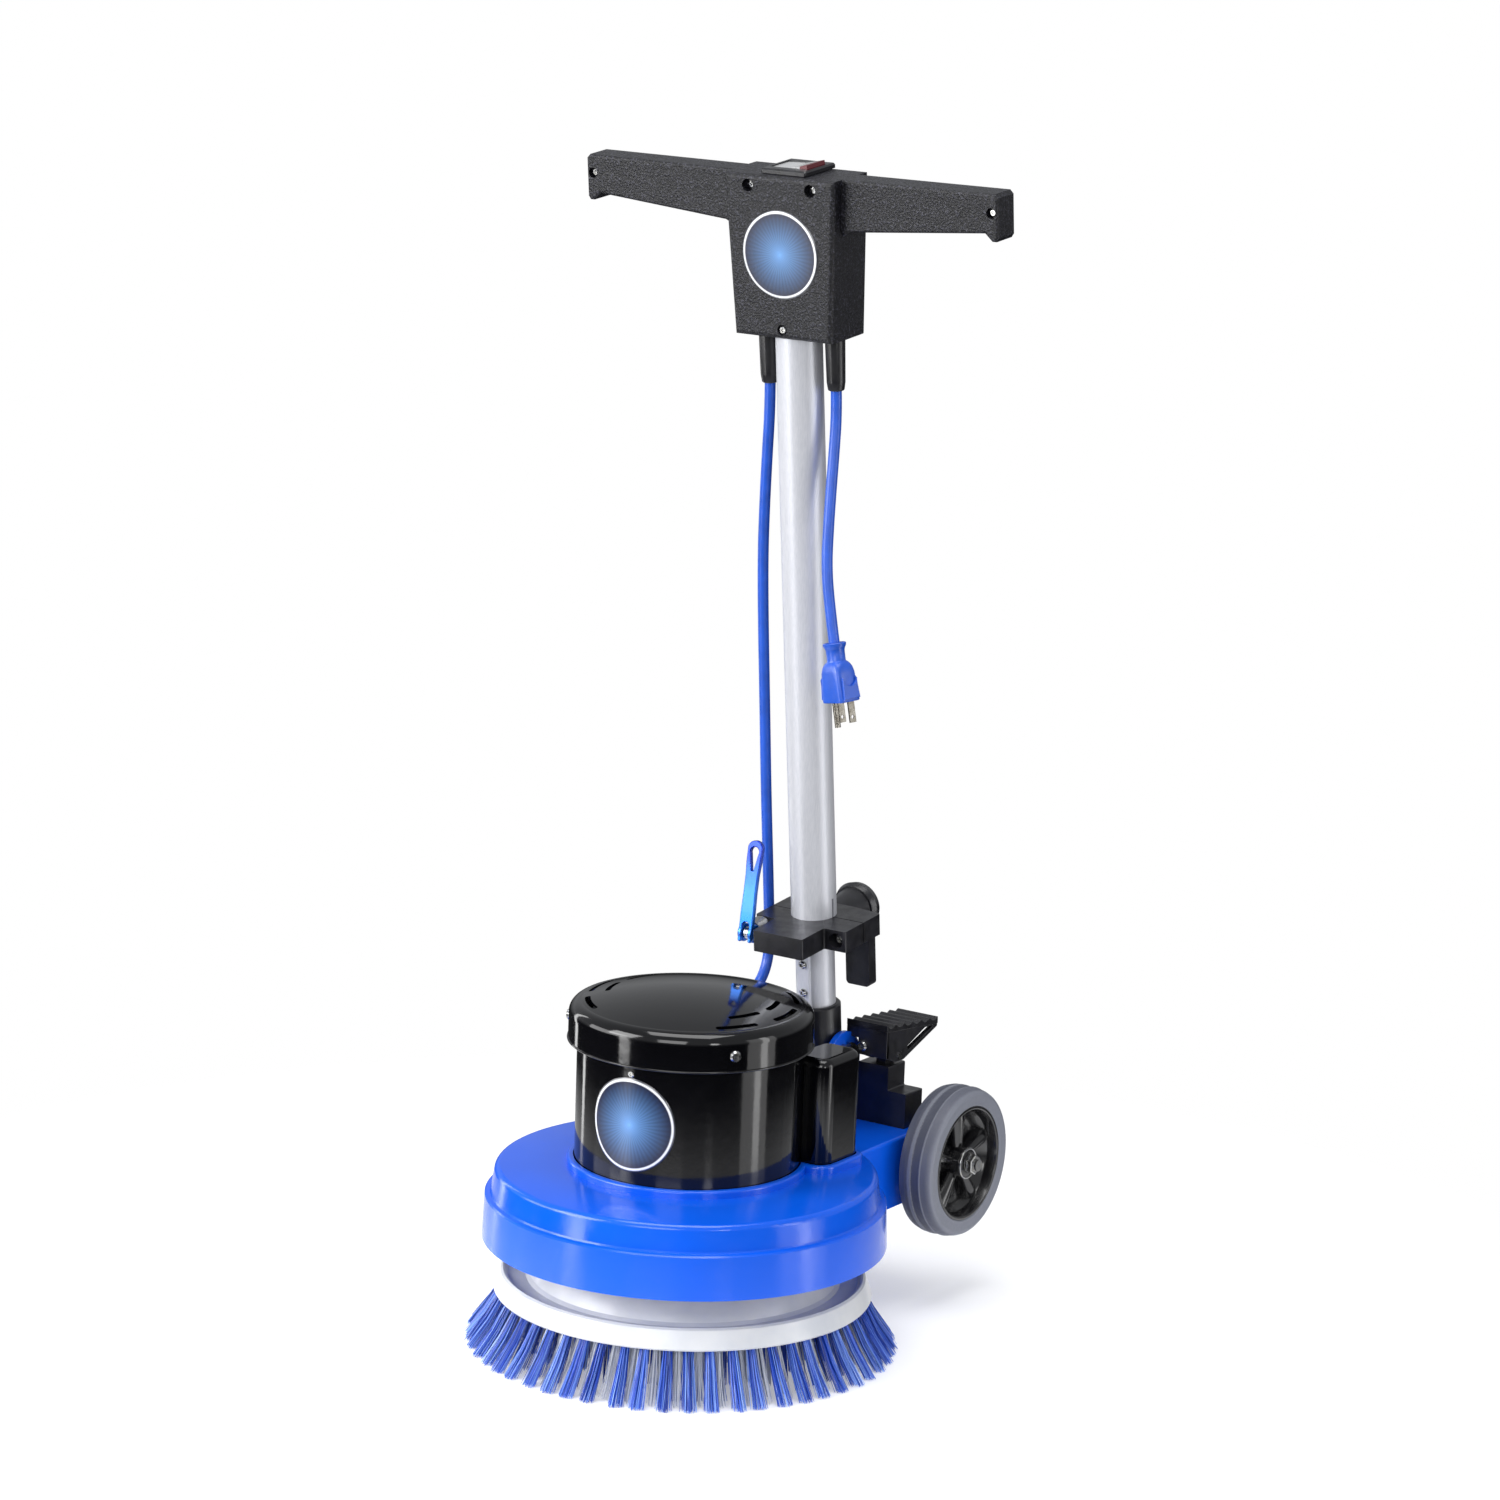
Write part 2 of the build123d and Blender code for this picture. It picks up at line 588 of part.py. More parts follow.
# ---------------------------------------------------------------- deck housing
with BuildPart() as deck_housing:
    with BuildSketch(Plane.XZ):
        with BuildLine():
            Polyline(
                (0, MOTOR_SEAT_Z),
                (0, DECK_BOTTOM_Z),
                (DECK_SKIRT_R, DECK_BOTTOM_Z),
                (DECK_SKIRT_R - 1.6, DECK_LEDGE_Z - 1.2),
                (DECK_SKIRT_R - 2.8, DECK_LEDGE_Z),
                (DECK_SHOULDER_R + 3.2, DECK_LEDGE_Z + 0.8),
                (DECK_SHOULDER_R + 2.4, DECK_LEDGE_Z + 2.2),
                (DECK_SHOULDER_R, DECK_EDGE_Z - 4.5),
            )
            ThreePointArc(
                (DECK_SHOULDER_R, DECK_EDGE_Z - 4.5),
                (DECK_SHOULDER_R - 1.6, DECK_EDGE_Z - 1.2),
                (DECK_SHOULDER_R - 5, DECK_EDGE_Z + 0.2),
            )
            ThreePointArc(
                (DECK_SHOULDER_R - 5, DECK_EDGE_Z + 0.2),
                (COLLAR_OUTER_R + 27, DECK_EDGE_Z + 2.2),
                (COLLAR_OUTER_R, MOTOR_SEAT_Z - 0.4),
            )
            Line((COLLAR_OUTER_R, MOTOR_SEAT_Z - 0.4), (0, MOTOR_SEAT_Z))
        make_face()
    revolve(axis=Axis.Z)
    with BuildSketch(Plane.XY.offset(DECK_BOTTOM_Z)):
        with Locations((0, TAIL_REAR_Y / 2)):
            Rectangle(2 * TAIL_HALF_WIDTH + 3, TAIL_REAR_Y)
    extrude(amount=DECK_EDGE_Z - DECK_BOTTOM_Z, taper=1.2)
    tail_edges = deck_housing.edges().filter_by_position(Axis.Y, 170, TAIL_REAR_Y + 1)
    fillet(tail_edges.filter_by_position(Axis.Z, DECK_EDGE_Z - 1, DECK_EDGE_Z + 1), 3)
    # Collar round the can and the capacitor cover
    with BuildSketch(Plane.XY.offset(DECK_EDGE_Z)):
        Circle(COLLAR_OUTER_R)
        with Locations(BOX_CENTRE):
            RectangleRounded(BOX_SIZE[0] + 11, BOX_SIZE[1] + 11, BOX_CORNER_R + 5.5)
    extrude(amount=COLLAR_TOP_Z - DECK_EDGE_Z)
    fillet(deck_housing.faces().filter_by(Axis.Z).sort_by(Axis.Z)[-1].edges(), 2.4)
    with BuildSketch(Plane.XY.offset(MOTOR_SEAT_Z)):
        Circle(CAN_R + 0.9)
        with Locations(BOX_CENTRE):
            RectangleRounded(BOX_SIZE[0] + 1.6, BOX_SIZE[1] + 1.6, BOX_CORNER_R + 0.8)
    extrude(amount=20, mode=Mode.SUBTRACT)
    # Hollow underside
    with BuildSketch(Plane.XZ):
        Polygon(
            (0, DECK_BOTTOM_Z - 1),
            (DECK_SKIRT_R - DECK_WALL, DECK_BOTTOM_Z - 1),
            (DECK_SKIRT_R - DECK_WALL - 1.6, DECK_LEDGE_Z - 4),
            (DECK_SHOULDER_R - DECK_WALL + 2, DECK_LEDGE_Z - 2),
            (DECK_SHOULDER_R - DECK_WALL, 139),
            (DECK_SHOULDER_R - DECK_WALL - 5, 142),
            (0, 142),
            align=None,
        )
    revolve(axis=Axis.Z, mode=Mode.SUBTRACT)
    with BuildSketch(Plane.XY.offset(DECK_BOTTOM_Z)):
        with Locations((0, (TAIL_REAR_Y - DECK_WALL) / 2)):
            Rectangle(2 * (TAIL_HALF_WIDTH - DECK_WALL), TAIL_REAR_Y - DECK_WALL)
    extrude(amount=142 - DECK_BOTTOM_Z, mode=Mode.SUBTRACT)
    with BuildSketch(Plane.XY.offset(140)):
        Circle(62)
    extrude(amount=20, mode=Mode.SUBTRACT)
    # Axle bosses inside the two side walls
    for side in (-1, 1):
        add(
            rod(
                11,
                (side * (TAIL_HALF_WIDTH - 22), *WHEEL_AXLE_YZ),
                (side * (TAIL_HALF_WIDTH - 2), *WHEEL_AXLE_YZ),
            )
        )
    add(rod(AXLE_R, (-120, *WHEEL_AXLE_YZ), (120, *WHEEL_AXLE_YZ)), mode=Mode.SUBTRACT)
write(deck_housing.part, "deck_housing")

# ---------------------------------------------------------------- wheels
AXLE_END_X = WHEEL_INNER_X + WHEEL_WIDTH + 9


def wheel_section(points):
    """Half section of a wheel piece, given as radius and distance from the inner face, for the +X wheel."""
    y, z = WHEEL_AXLE_YZ
    return [(WHEEL_INNER_X + along, z + radius) for radius, along in points]


WHEEL_PLANE = Plane(origin=(0, WHEEL_AXLE_YZ[0], 0), x_dir=(1, 0, 0), z_dir=(0, -1, 0))
WHEEL_AXIS = Axis((0, *WHEEL_AXLE_YZ), (1, 0, 0))
HUB_R = 48.5
for side_name, mirrored in (("right", False), ("left", True)):
    with BuildPart() as tyre:
        with BuildSketch(WHEEL_PLANE):
            Polygon(
                *wheel_section(
                    [
                        (HUB_R, 1.0),
                        (58.5, 0.0),
                        (61.5, 1.5),
                        (63.0, 5.0),
                        (WHEEL_R, 9.0),
                        (WHEEL_R, 11.2),
                        (62.7, 12.0),
                        (62.7, 21.0),
                        (WHEEL_R, 21.8),
                        (WHEEL_R, 24.0),
                        (63.0, 28.0),
                        (61.5, 31.5),
                        (58.5, WHEEL_WIDTH),
                        (HUB_R, 32.0),
                    ]
                ),
                align=None,
            )
        revolve(axis=WHEEL_AXIS)
        if mirrored:
            mirror(about=Plane.YZ, mode=Mode.REPLACE)
    write(tyre.part, "tyre_" + side_name)

    with BuildPart() as hub:
        with BuildSketch(WHEEL_PLANE):
            Polygon(
                *wheel_section(
                    [
                        (AXLE_R + RUNNING_CLEARANCE, -1.5),
                        (12, -1.5),
                        (13, 6),
                        (41, 9),
                        (44, 1.5),
                        (HUB_R, 1.0),
                        (HUB_R, 32.0),
                        (45.5, 32.0),
                        (44, 22),
                        (38, 15.5),
                        (15, 13.5),
                        (13, WHEEL_WIDTH - 3),
                        (AXLE_R + RUNNING_CLEARANCE, WHEEL_WIDTH - 3),
                    ]
                ),
                align=None,
            )
        revolve(axis=WHEEL_AXIS)
        # Five tapered spokes on the outer face, thick at the hub's barrel
        for turn in range(5):
            spoke_angle = radians(90 + 72 * turn)
            across = Vector(0, cos(spoke_angle), sin(spoke_angle))
            centre = Vector(0, *WHEEL_AXLE_YZ)
            foot = centre + across * 10 + Vector(WHEEL_INNER_X + 17, 0, 0)
            tip = centre + across * 44.5 + Vector(WHEEL_INNER_X + 17.5, 0, 0)
            add(cone_rod(4.2, 8.0, foot, tip))
        add(rod(AXLE_R + RUNNING_CLEARANCE, (80, *WHEEL_AXLE_YZ), (150, *WHEEL_AXLE_YZ)), mode=Mode.SUBTRACT)
        if mirrored:
            mirror(about=Plane.YZ, mode=Mode.REPLACE)
    write(hub.part, "hub_" + side_name)

write(rod(AXLE_R, (-AXLE_END_X, *WHEEL_AXLE_YZ), (AXLE_END_X, *WHEEL_AXLE_YZ)), "axle")

NUT_X = WHEEL_INNER_X + WHEEL_WIDTH - 0.7
with BuildPart() as wheel_fasteners:
    for side in (-1, 1):
        with BuildSketch(Plane(origin=(side * (NUT_X - 2), *WHEEL_AXLE_YZ), z_dir=(side, 0, 0))):
            Circle(13.5)
            Circle(AXLE_R, mode=Mode.SUBTRACT)
        extrude(amount=1.8)
        add(
            hexagon_nut(
                (side * NUT_X, *WHEEL_AXLE_YZ),
                (side * (NUT_X + 7), *WHEEL_AXLE_YZ),
                15,
                AXLE_R,
            )
        )
        with BuildSketch(Plane(origin=(side * (WHEEL_INNER_X - 7), *WHEEL_AXLE_YZ), z_dir=(side, 0, 0))):
            Circle(9)
            Circle(AXLE_R, mode=Mode.SUBTRACT)
        extrude(amount=5.2)
write(wheel_fasteners.part, "wheel_fasteners")

# ---------------------------------------------------------------- handle ears
YOKE_FOOT_TOP_Z = DECK_EDGE_Z + 5
YOKE_SCREW_PLACES = [(x, y) for x in (-13, 13) for y in (174, 205)]
with BuildPart() as handle_yoke:
    with BuildSketch(Plane.XY.offset(DECK_EDGE_Z)):
        with Locations((0, PIVOT_YZ[0])):
            Rectangle(2 * EAR_OUTER_X, 2 * EAR_R)
    extrude(amount=YOKE_FOOT_TOP_Z - DECK_EDGE_Z)
    for start_x in (-EAR_OUTER_X, EAR_INNER_X):
        with BuildSketch(Plane(origin=(start_x, 0, 0), x_dir=(0, 1, 0), z_dir=(1, 0, 0))):
            with Locations(PIVOT_YZ):
                Circle(EAR_R)
            with Locations((PIVOT_YZ[0], (PIVOT_YZ[1] + DECK_EDGE_Z) / 2)):
                Rectangle(2 * EAR_R, PIVOT_YZ[1] - DECK_EDGE_Z)
        extrude(amount=EAR_OUTER_X - EAR_INNER_X)
    add(rod(PIVOT_SHAFT_R + RUNNING_CLEARANCE, (-40, *PIVOT_YZ), (40, *PIVOT_YZ)), mode=Mode.SUBTRACT)
    with BuildSketch(Plane.XY.offset(DECK_EDGE_Z)):
        with Locations(*YOKE_SCREW_PLACES):
            Circle(2.5)
    extrude(amount=10, mode=Mode.SUBTRACT)
write(handle_yoke.part, "handle_yoke")

with BuildPart() as yoke_screws:
    for x, y in YOKE_SCREW_PLACES:
        add(screw((x, y, YOKE_FOOT_TOP_Z), (0, 0, 1), 4.4, 3.4, 2.5, 4.8, sides=6))
write(yoke_screws.part, "yoke_screws")

# ---------------------------------------------------------------- lock bracket and foot pedal
with BuildPart() as lock_bracket:
    with BuildSketch(Plane.XY.offset(DECK_EDGE_Z)):
        with Locations((54, (BRACKET_FRONT_Y + BRACKET_REAR_Y) / 2)):
            Rectangle(48, BRACKET_REAR_Y - BRACKET_FRONT_Y)
    extrude(amount=30)
    with BuildSketch(Plane.XY.offset(DECK_EDGE_Z + 30)):
        with Locations((45, (BRACKET_FRONT_Y + BRACKET_REAR_Y) / 2)):
            Rectangle(30, BRACKET_REAR_Y - BRACKET_FRONT_Y)
    extrude(amount=20.5)
    fillet(lock_bracket.edges().filter_by(Axis.Y), 1.2)
    with BuildSketch(Plane(origin=(44, 0, 0), x_dir=(0, 1, 0), z_dir=(1, 0, 0))):
        with Locations(PEDAL_PIN_YZ):
            Circle(7)
        with Locations((PEDAL_PIN_YZ[0], 200)):
            Rectangle(14, 10)
    extrude(amount=9)
    add(rod(3.05, (30, *PEDAL_PIN_YZ), (70, *PEDAL_PIN_YZ)), mode=Mode.SUBTRACT)
write(lock_bracket.part, "lock_bracket")

PEDAL_TOP = [(198.0, 233.0), (277.0, 225.0)]
PEDAL_X = (22.2, 62.5)
RIB_HEIGHT = 2.2
with BuildPart() as foot_pedal:
    pedal_side = Plane(origin=(PEDAL_X[0], 0, 0), x_dir=(0, 1, 0), z_dir=(1, 0, 0))
    with BuildSketch(pedal_side):
        Polygon(*PEDAL_TOP, (277, 220.5), (198, 228.0), align=None)
    extrude(amount=PEDAL_X[1] - PEDAL_X[0])
    # Two side webs carry the pin
    for web_x in (36.0, 58.0):
        with BuildSketch(Plane(origin=(web_x, 0, 0), x_dir=(0, 1, 0), z_dir=(1, 0, 0))):
            Polygon((198, 229), (277, 222), (277, 217.5), (226, 199), (212, 199), (198, 205), align=None)
        extrude(amount=4.5)
    with BuildSketch(Plane(origin=(34, 0, 0), x_dir=(0, 1, 0), z_dir=(1, 0, 0))):
        Polygon((198, 229), (202, 229), (202, 206), (198, 206), align=None)
    extrude(amount=PEDAL_X[1] - 34)
    # Grip ribs across the tread
    for step in range(6):
        y = 203.0 + 13.0 * step
        z = 233.0 - (y - 198.0) * 8.0 / 79.0
        with BuildSketch(pedal_side):
            Polygon(
                (y - 2, z - 0.5),
                (y + 2, z - 0.7),
                (y + 1.2, z + RIB_HEIGHT),
                (y - 1.2, z + RIB_HEIGHT),
                align=None,
            )
        extrude(amount=PEDAL_X[1] - PEDAL_X[0])
    add(rod(3.0, (30, *PEDAL_PIN_YZ), (70, *PEDAL_PIN_YZ)), mode=Mode.SUBTRACT)
write(foot_pedal.part, "foot_pedal")

with BuildPart() as pedal_fasteners:
    add(rod(3.0, (36.0, *PEDAL_PIN_YZ), (63.4, *PEDAL_PIN_YZ)))
    add(screw((39, 198, 213.5), (0, -1, 0), 4.4, 3.0))
write(pedal_fasteners.part, "pedal_fasteners")

with BuildPart() as pedal_spring:
    with BuildSketch(Plane(origin=(53.3, *PEDAL_PIN_YZ), z_dir=(1, 0, 0))):
        Circle(5.6)
        Circle(3.9, mode=Mode.SUBTRACT)
    extrude(amount=4.4)
write(pedal_spring.part, "pedal_spring")

# ---------------------------------------------------------------- handle, below the slide
with BuildPart() as handle_socket:
    with BuildSketch():
        Circle(SOCKET_R)
    extrude(amount=SOCKET_TOP)
    add(rod(16, (-EAR_INNER_X + 0.3, 0, 0), (EAR_INNER_X - 0.3, 0, 0)))
    with BuildSketch(Plane.XY.offset(10)):
        Circle(LOWER_TUBE_R)
    extrude(amount=SOCKET_TOP, mode=Mode.SUBTRACT)
    add(rod(PIVOT_SHAFT_R, (-40, 0, 0), (40, 0, 0)), mode=Mode.SUBTRACT)
    rim_circles = handle_socket.edges().filter_by(GeomType.CIRCLE).group_by(Axis.Z)[-1]
    chamfer(rim_circles.sort_by(SortBy.RADIUS)[-1:], 1.5)
write(handle_socket.part, "handle_socket", HANDLE_PLACE)

with BuildPart() as pivot_shaft:
    add(rod(PIVOT_SHAFT_R, (-35, 0, 0), (38, 0, 0)))
    add(hexagon_nut((-33.5, 0, 0), (-27.6, 0, 0), 13, 3))
    add(hexagon_nut((31.5, 0, 0), (36.5, 0, 0), 13, 3))
    # Notched lock disc outside the right ear
    with BuildSketch(Plane(origin=(27.5, 0, 0), x_dir=(0, 1, 0), z_dir=(1, 0, 0))):
        Circle(15.5)
        with Locations((0, 15.5)):
            Rectangle(6, 6, mode=Mode.SUBTRACT)
    extrude(amount=4)
write(pivot_shaft.part, "pivot_shaft", HANDLE_PLACE)

LOWER_TUBE_TOP = 330.0
with BuildPart() as lower_tube:
    with BuildSketch(Plane.XY.offset(10)):
        Circle(LOWER_TUBE_R)
        Circle(LOWER_TUBE_R - 2, mode=Mode.SUBTRACT)
    extrude(amount=LOWER_TUBE_TOP - 10)
write(lower_tube.part, "lower_tube", HANDLE_PLACE)

KEY_SCREW_HEIGHTS = (60.7, 85.5)
with BuildPart() as key_strip:
    with BuildSketch(Plane.XY.offset(SOCKET_TOP + 1)):
        with Locations((0, -LOWER_TUBE_R)):
            Rectangle(11, 4.4)
        Circle(LOWER_TUBE_R + 0.02, mode=Mode.SUBTRACT)
    extrude(amount=CLAMP_BOTTOM - SOCKET_TOP - 2)
write(key_strip.part, "key_strip", HANDLE_PLACE)

with BuildPart() as key_screws:
    for height in KEY_SCREW_HEIGHTS:
        add(screw((0, -LOWER_TUBE_R - 2.2, height), (0, -1, 0), 3.5, 2.6, sides=6))
write(key_screws.part, "key_screws", HANDLE_PLACE)

# ---------------------------------------------------------------- handle, above the slide
UPPER_TUBE_TOP = 700.0
UPPER_TUBE_BORE_R = UPPER_TUBE_R - 1.5
with BuildPart() as upper_tube:
    with BuildSketch(Plane.XY.offset(UPPER_TUBE_FOOT)):
        Circle(UPPER_TUBE_R)
        Circle(UPPER_TUBE_BORE_R, mode=Mode.SUBTRACT)
    extrude(amount=UPPER_TUBE_TOP - UPPER_TUBE_FOOT)
    with BuildSketch(Plane.XY.offset(UPPER_TUBE_FOOT)):
        Rectangle(60, 2.6)
    extrude(amount=28, mode=Mode.SUBTRACT)
write(upper_tube.part, "upper_tube", HANDLE_PLACE)

with BuildPart() as tube_bush:
    with BuildSketch(Plane.XY.offset(UPPER_TUBE_FOOT + 30)):
        Circle(UPPER_TUBE_BORE_R)
        Circle(LOWER_TUBE_R + RUNNING_CLEARANCE, mode=Mode.SUBTRACT)
    extrude(amount=25)
write(tube_bush.part, "tube_bush", HANDLE_PLACE)

SKEWER_X = -34.5
SCREW_X = 39.0
FASTENER_HEIGHT = 116.0
CLAMP_GAP = 0.5
CLAMP_FRONT_OUTLINE = [
    (-41, -CLAMP_GAP),
    (-41, -25.5),
    (-21, -27),
    (-21, -60),
    (27.5, -60),
    (27.5, -27),
    (48.5, -27),
    (48.5, -CLAMP_GAP),
]
CLAMP_REAR_OUTLINE = [(-41, CLAMP_GAP), (48.5, CLAMP_GAP), (48.5, 26), (20, 30), (-20, 30), (-41, 26)]


def bore_clamp():
    """Space of the two tubes, the skewer and the screw through both clamp halves."""
    with BuildPart() as space:
        with BuildSketch(Plane.XY.offset(UPPER_TUBE_FOOT)):
            Circle(UPPER_TUBE_R + 0.02)
        extrude(amount=30)
        with BuildSketch(Plane.XY.offset(CLAMP_BOTTOM - 10)):
            Circle(LOWER_TUBE_R + RUNNING_CLEARANCE)
        extrude(amount=30)
        add(rod(3.0, (SKEWER_X, -40, FASTENER_HEIGHT), (SKEWER_X, 60, FASTENER_HEIGHT)))
        add(rod(2.5, (SCREW_X, -40, FASTENER_HEIGHT), (SCREW_X, 22, FASTENER_HEIGHT)))
    return space.part


with BuildPart() as clamp_front:
    with BuildSketch(Plane.XY.offset(CLAMP_BOTTOM)):
        Polygon(*CLAMP_FRONT_OUTLINE, align=None)
    extrude(amount=CLAMP_TOP - CLAMP_BOTTOM)
    fillet(clamp_front.edges().filter_by(Axis.Z).filter_by_position(Axis.Y, -61, -20), 1.5)
    add(bore_clamp(), mode=Mode.SUBTRACT)
    # Round pocket for the screw's head
    add(rod(6.5, (SCREW_X, -40, FASTENER_HEIGHT), (SCREW_X, -17, FASTENER_HEIGHT)), mode=Mode.SUBTRACT)
write(clamp_front.part, "clamp_front", HANDLE_PLACE)

HORN_AXIS_HEIGHT = 111.5
HOOK_X = 34.5
HOOK_WIDTH = 23.0
HOOK_Y = (11.25, 21.75)
HOOK_FOOT = 64.0
with BuildPart() as clamp_rear:
    with BuildSketch(Plane.XY.offset(CLAMP_BOTTOM)):
        Polygon(*CLAMP_REAR_OUTLINE, align=None)
    extrude(amount=CLAMP_TOP - CLAMP_BOTTOM)
    fillet(clamp_rear.edges().filter_by(Axis.Z).filter_by_position(Axis.Y, 20, 40), 1.5)
    # Cord hook: a horn that flares to a rimmed end
    add(cone_rod(12.5, 17.5, (0, 18, HORN_AXIS_HEIGHT), (0, 60, HORN_AXIS_HEIGHT)))
    add(cone_rod(19.0, 21.0, (0, 59, HORN_AXIS_HEIGHT), (0, 64, HORN_AXIS_HEIGHT)))
    add(cone_rod(21.0, 19.5, (0, 64, HORN_AXIS_HEIGHT), (0, 70, HORN_AXIS_HEIGHT)))
    # Flat lower hook
    with BuildSketch(Plane(origin=(0, HOOK_Y[0], 0), x_dir=(-1, 0, 0), z_dir=(0, 1, 0))):
        with Locations((-HOOK_X, (CLAMP_BOTTOM + 4 + HOOK_FOOT) / 2)):
            RectangleRounded(HOOK_WIDTH, CLAMP_BOTTOM + 4 - HOOK_FOOT, 3.5)
    extrude(amount=HOOK_Y[1] - HOOK_Y[0])
    add(bore_clamp(), mode=Mode.SUBTRACT)
write(clamp_rear.part, "clamp_rear", HANDLE_PLACE)

CAM_PIN_Y = -46.0
CAM_PIN_R = 3.0
CAM_R = 7.7
with BuildPart() as clamp_fasteners:
    # Quick-release skewer with its cup washer and its nut behind the rear half
    add(rod(2.9, (SKEWER_X, CAM_PIN_Y, FASTENER_HEIGHT), (SKEWER_X, 35, FASTENER_HEIGHT)))
    with BuildSketch(Plane(origin=(SKEWER_X, CAM_PIN_Y, FASTENER_HEIGHT), z_dir=(1, 0, 0))):
        Circle(5.2)
    extrude(amount=2.2, both=True)
    add(
        rod(
            CAM_PIN_R + RUNNING_CLEARANCE,
            (SKEWER_X - 10, CAM_PIN_Y, FASTENER_HEIGHT),
            (SKEWER_X + 10, CAM_PIN_Y, FASTENER_HEIGHT),
        ),
        mode=Mode.SUBTRACT,
    )
    add(cone_rod(6, 9, (SKEWER_X, -37.2, FASTENER_HEIGHT), (SKEWER_X, -27.2, FASTENER_HEIGHT)))
    add(hexagon_nut((SKEWER_X, 28.9, FASTENER_HEIGHT), (SKEWER_X, 33.6, FASTENER_HEIGHT), 10, 2))
    add(screw((SCREW_X, -17, FASTENER_HEIGHT), (0, -1, 0), 5.2, 4.0, 2.4, 35))
write(clamp_fasteners.part, "clamp_fasteners", HANDLE_PLACE)

LEVER_LEAN = 14.6
LEVER_HALF_WIDTH = 6.5
with BuildPart() as cam_lever:
    # The lever's broad face looks forward; it rises from the cam towards the tube
    lean = radians(LEVER_LEAN)
    up = Vector(0, sin(lean), cos(lean))
    pin = Vector(SKEWER_X, CAM_PIN_Y, FASTENER_HEIGHT)
    blade = Plane(origin=pin + Vector(0, -4.5, 0), x_dir=(1, 0, 0), z_dir=Vector(1, 0, 0).cross(up))
    with BuildSketch(blade):
        with Locations((0, 31)):
            Rectangle(2 * LEVER_HALF_WIDTH, 78)
        with Locations((0, 70)):
            Circle(LEVER_HALF_WIDTH + 1)
        with Locations((0, -3)):
            Rectangle(6.4, 22, mode=Mode.SUBTRACT)
        with Locations((0, 63)):
            SlotCenterToCenter(12, 5, rotation=90, mode=Mode.SUBTRACT)
    extrude(amount=2.2, both=True)
    for side in (-1, 1):
        add(rod(CAM_R, pin + Vector(side * 3.2, 0, 0), pin + Vector(side * LEVER_HALF_WIDTH, 0, 0)))
    add(rod(CAM_PIN_R, pin - Vector(LEVER_HALF_WIDTH, 0, 0), pin + Vector(LEVER_HALF_WIDTH, 0, 0)))
write(cam_lever.part, "cam_lever", HANDLE_PLACE)

# ---------------------------------------------------------------- handle head
FACE_Y = -24.0
BACK_Y = 27.0
ARM_FRONT_Y = -12.5
ARM_BACK_Y = 13.5
SPLIT_GAP = 0.1
HEAD_WALL = 3.0
BLOCK_TOP_HALF = 52.5
BLOCK_OUTLINE = [
    (-46, HEAD_BOTTOM),
    (46, HEAD_BOTTOM),
    (BLOCK_TOP_HALF, HEAD_TOP),
    (-BLOCK_TOP_HALF, HEAD_TOP),
]
ARM_HALF = [
    (GRIP_HALF_SPAN - 3, HEAD_TOP + 0.5),
    (GRIP_HALF_SPAN, HEAD_TOP - 2.5),
    (GRIP_HALF_SPAN, HEAD_TOP - 34),
    (GRIP_HALF_SPAN - 2, HEAD_TOP - 37),
    (GRIP_HALF_SPAN - 5.5, HEAD_TOP - 37),
    (GRIP_HALF_SPAN - 12, HEAD_TOP - 31),
    (60, HEAD_TOP - 41.5),
    (49, HEAD_TOP - 47),
]
ARM_OUTLINE = [(0, HEAD_TOP)] + ARM_HALF + [(-x, height) for x, height in reversed(ARM_HALF)]
FACE_SCREWS = [(-29.5, 739), (29.5, 739)]
TUBE_SCREW = (0, 624.5)
ARM_SCREWS = [(-189, 733.5), (189, 733.5)]
FACE_RECESS_R = 5.2
FACE_RECESS = 8.0
TUBE_RECESS_R = 4.6
TUBE_RECESS = 2.5
ARM_RECESS_R = 4.2
ARM_RECESS = 5.0
HEAD_SCREW_R = 1.8
SWITCH_Y = 5.0
SWITCH_HALF_X = 18.0
SWITCH_HALF_Y = 13.3
SWITCH_WALL = 1.5


def rounded_slab(outline, plane, depth, edge_r):
    """Slab of an outline, with a rounded edge round its far face."""
    with BuildPart() as slab:
        with BuildSketch(plane):
            Polygon(*outline, align=None)
        extrude(amount=depth)
        fillet(slab.faces().sort_by(Axis(plane.origin, plane.z_dir))[-1].edges(), edge_r)
    return slab.part


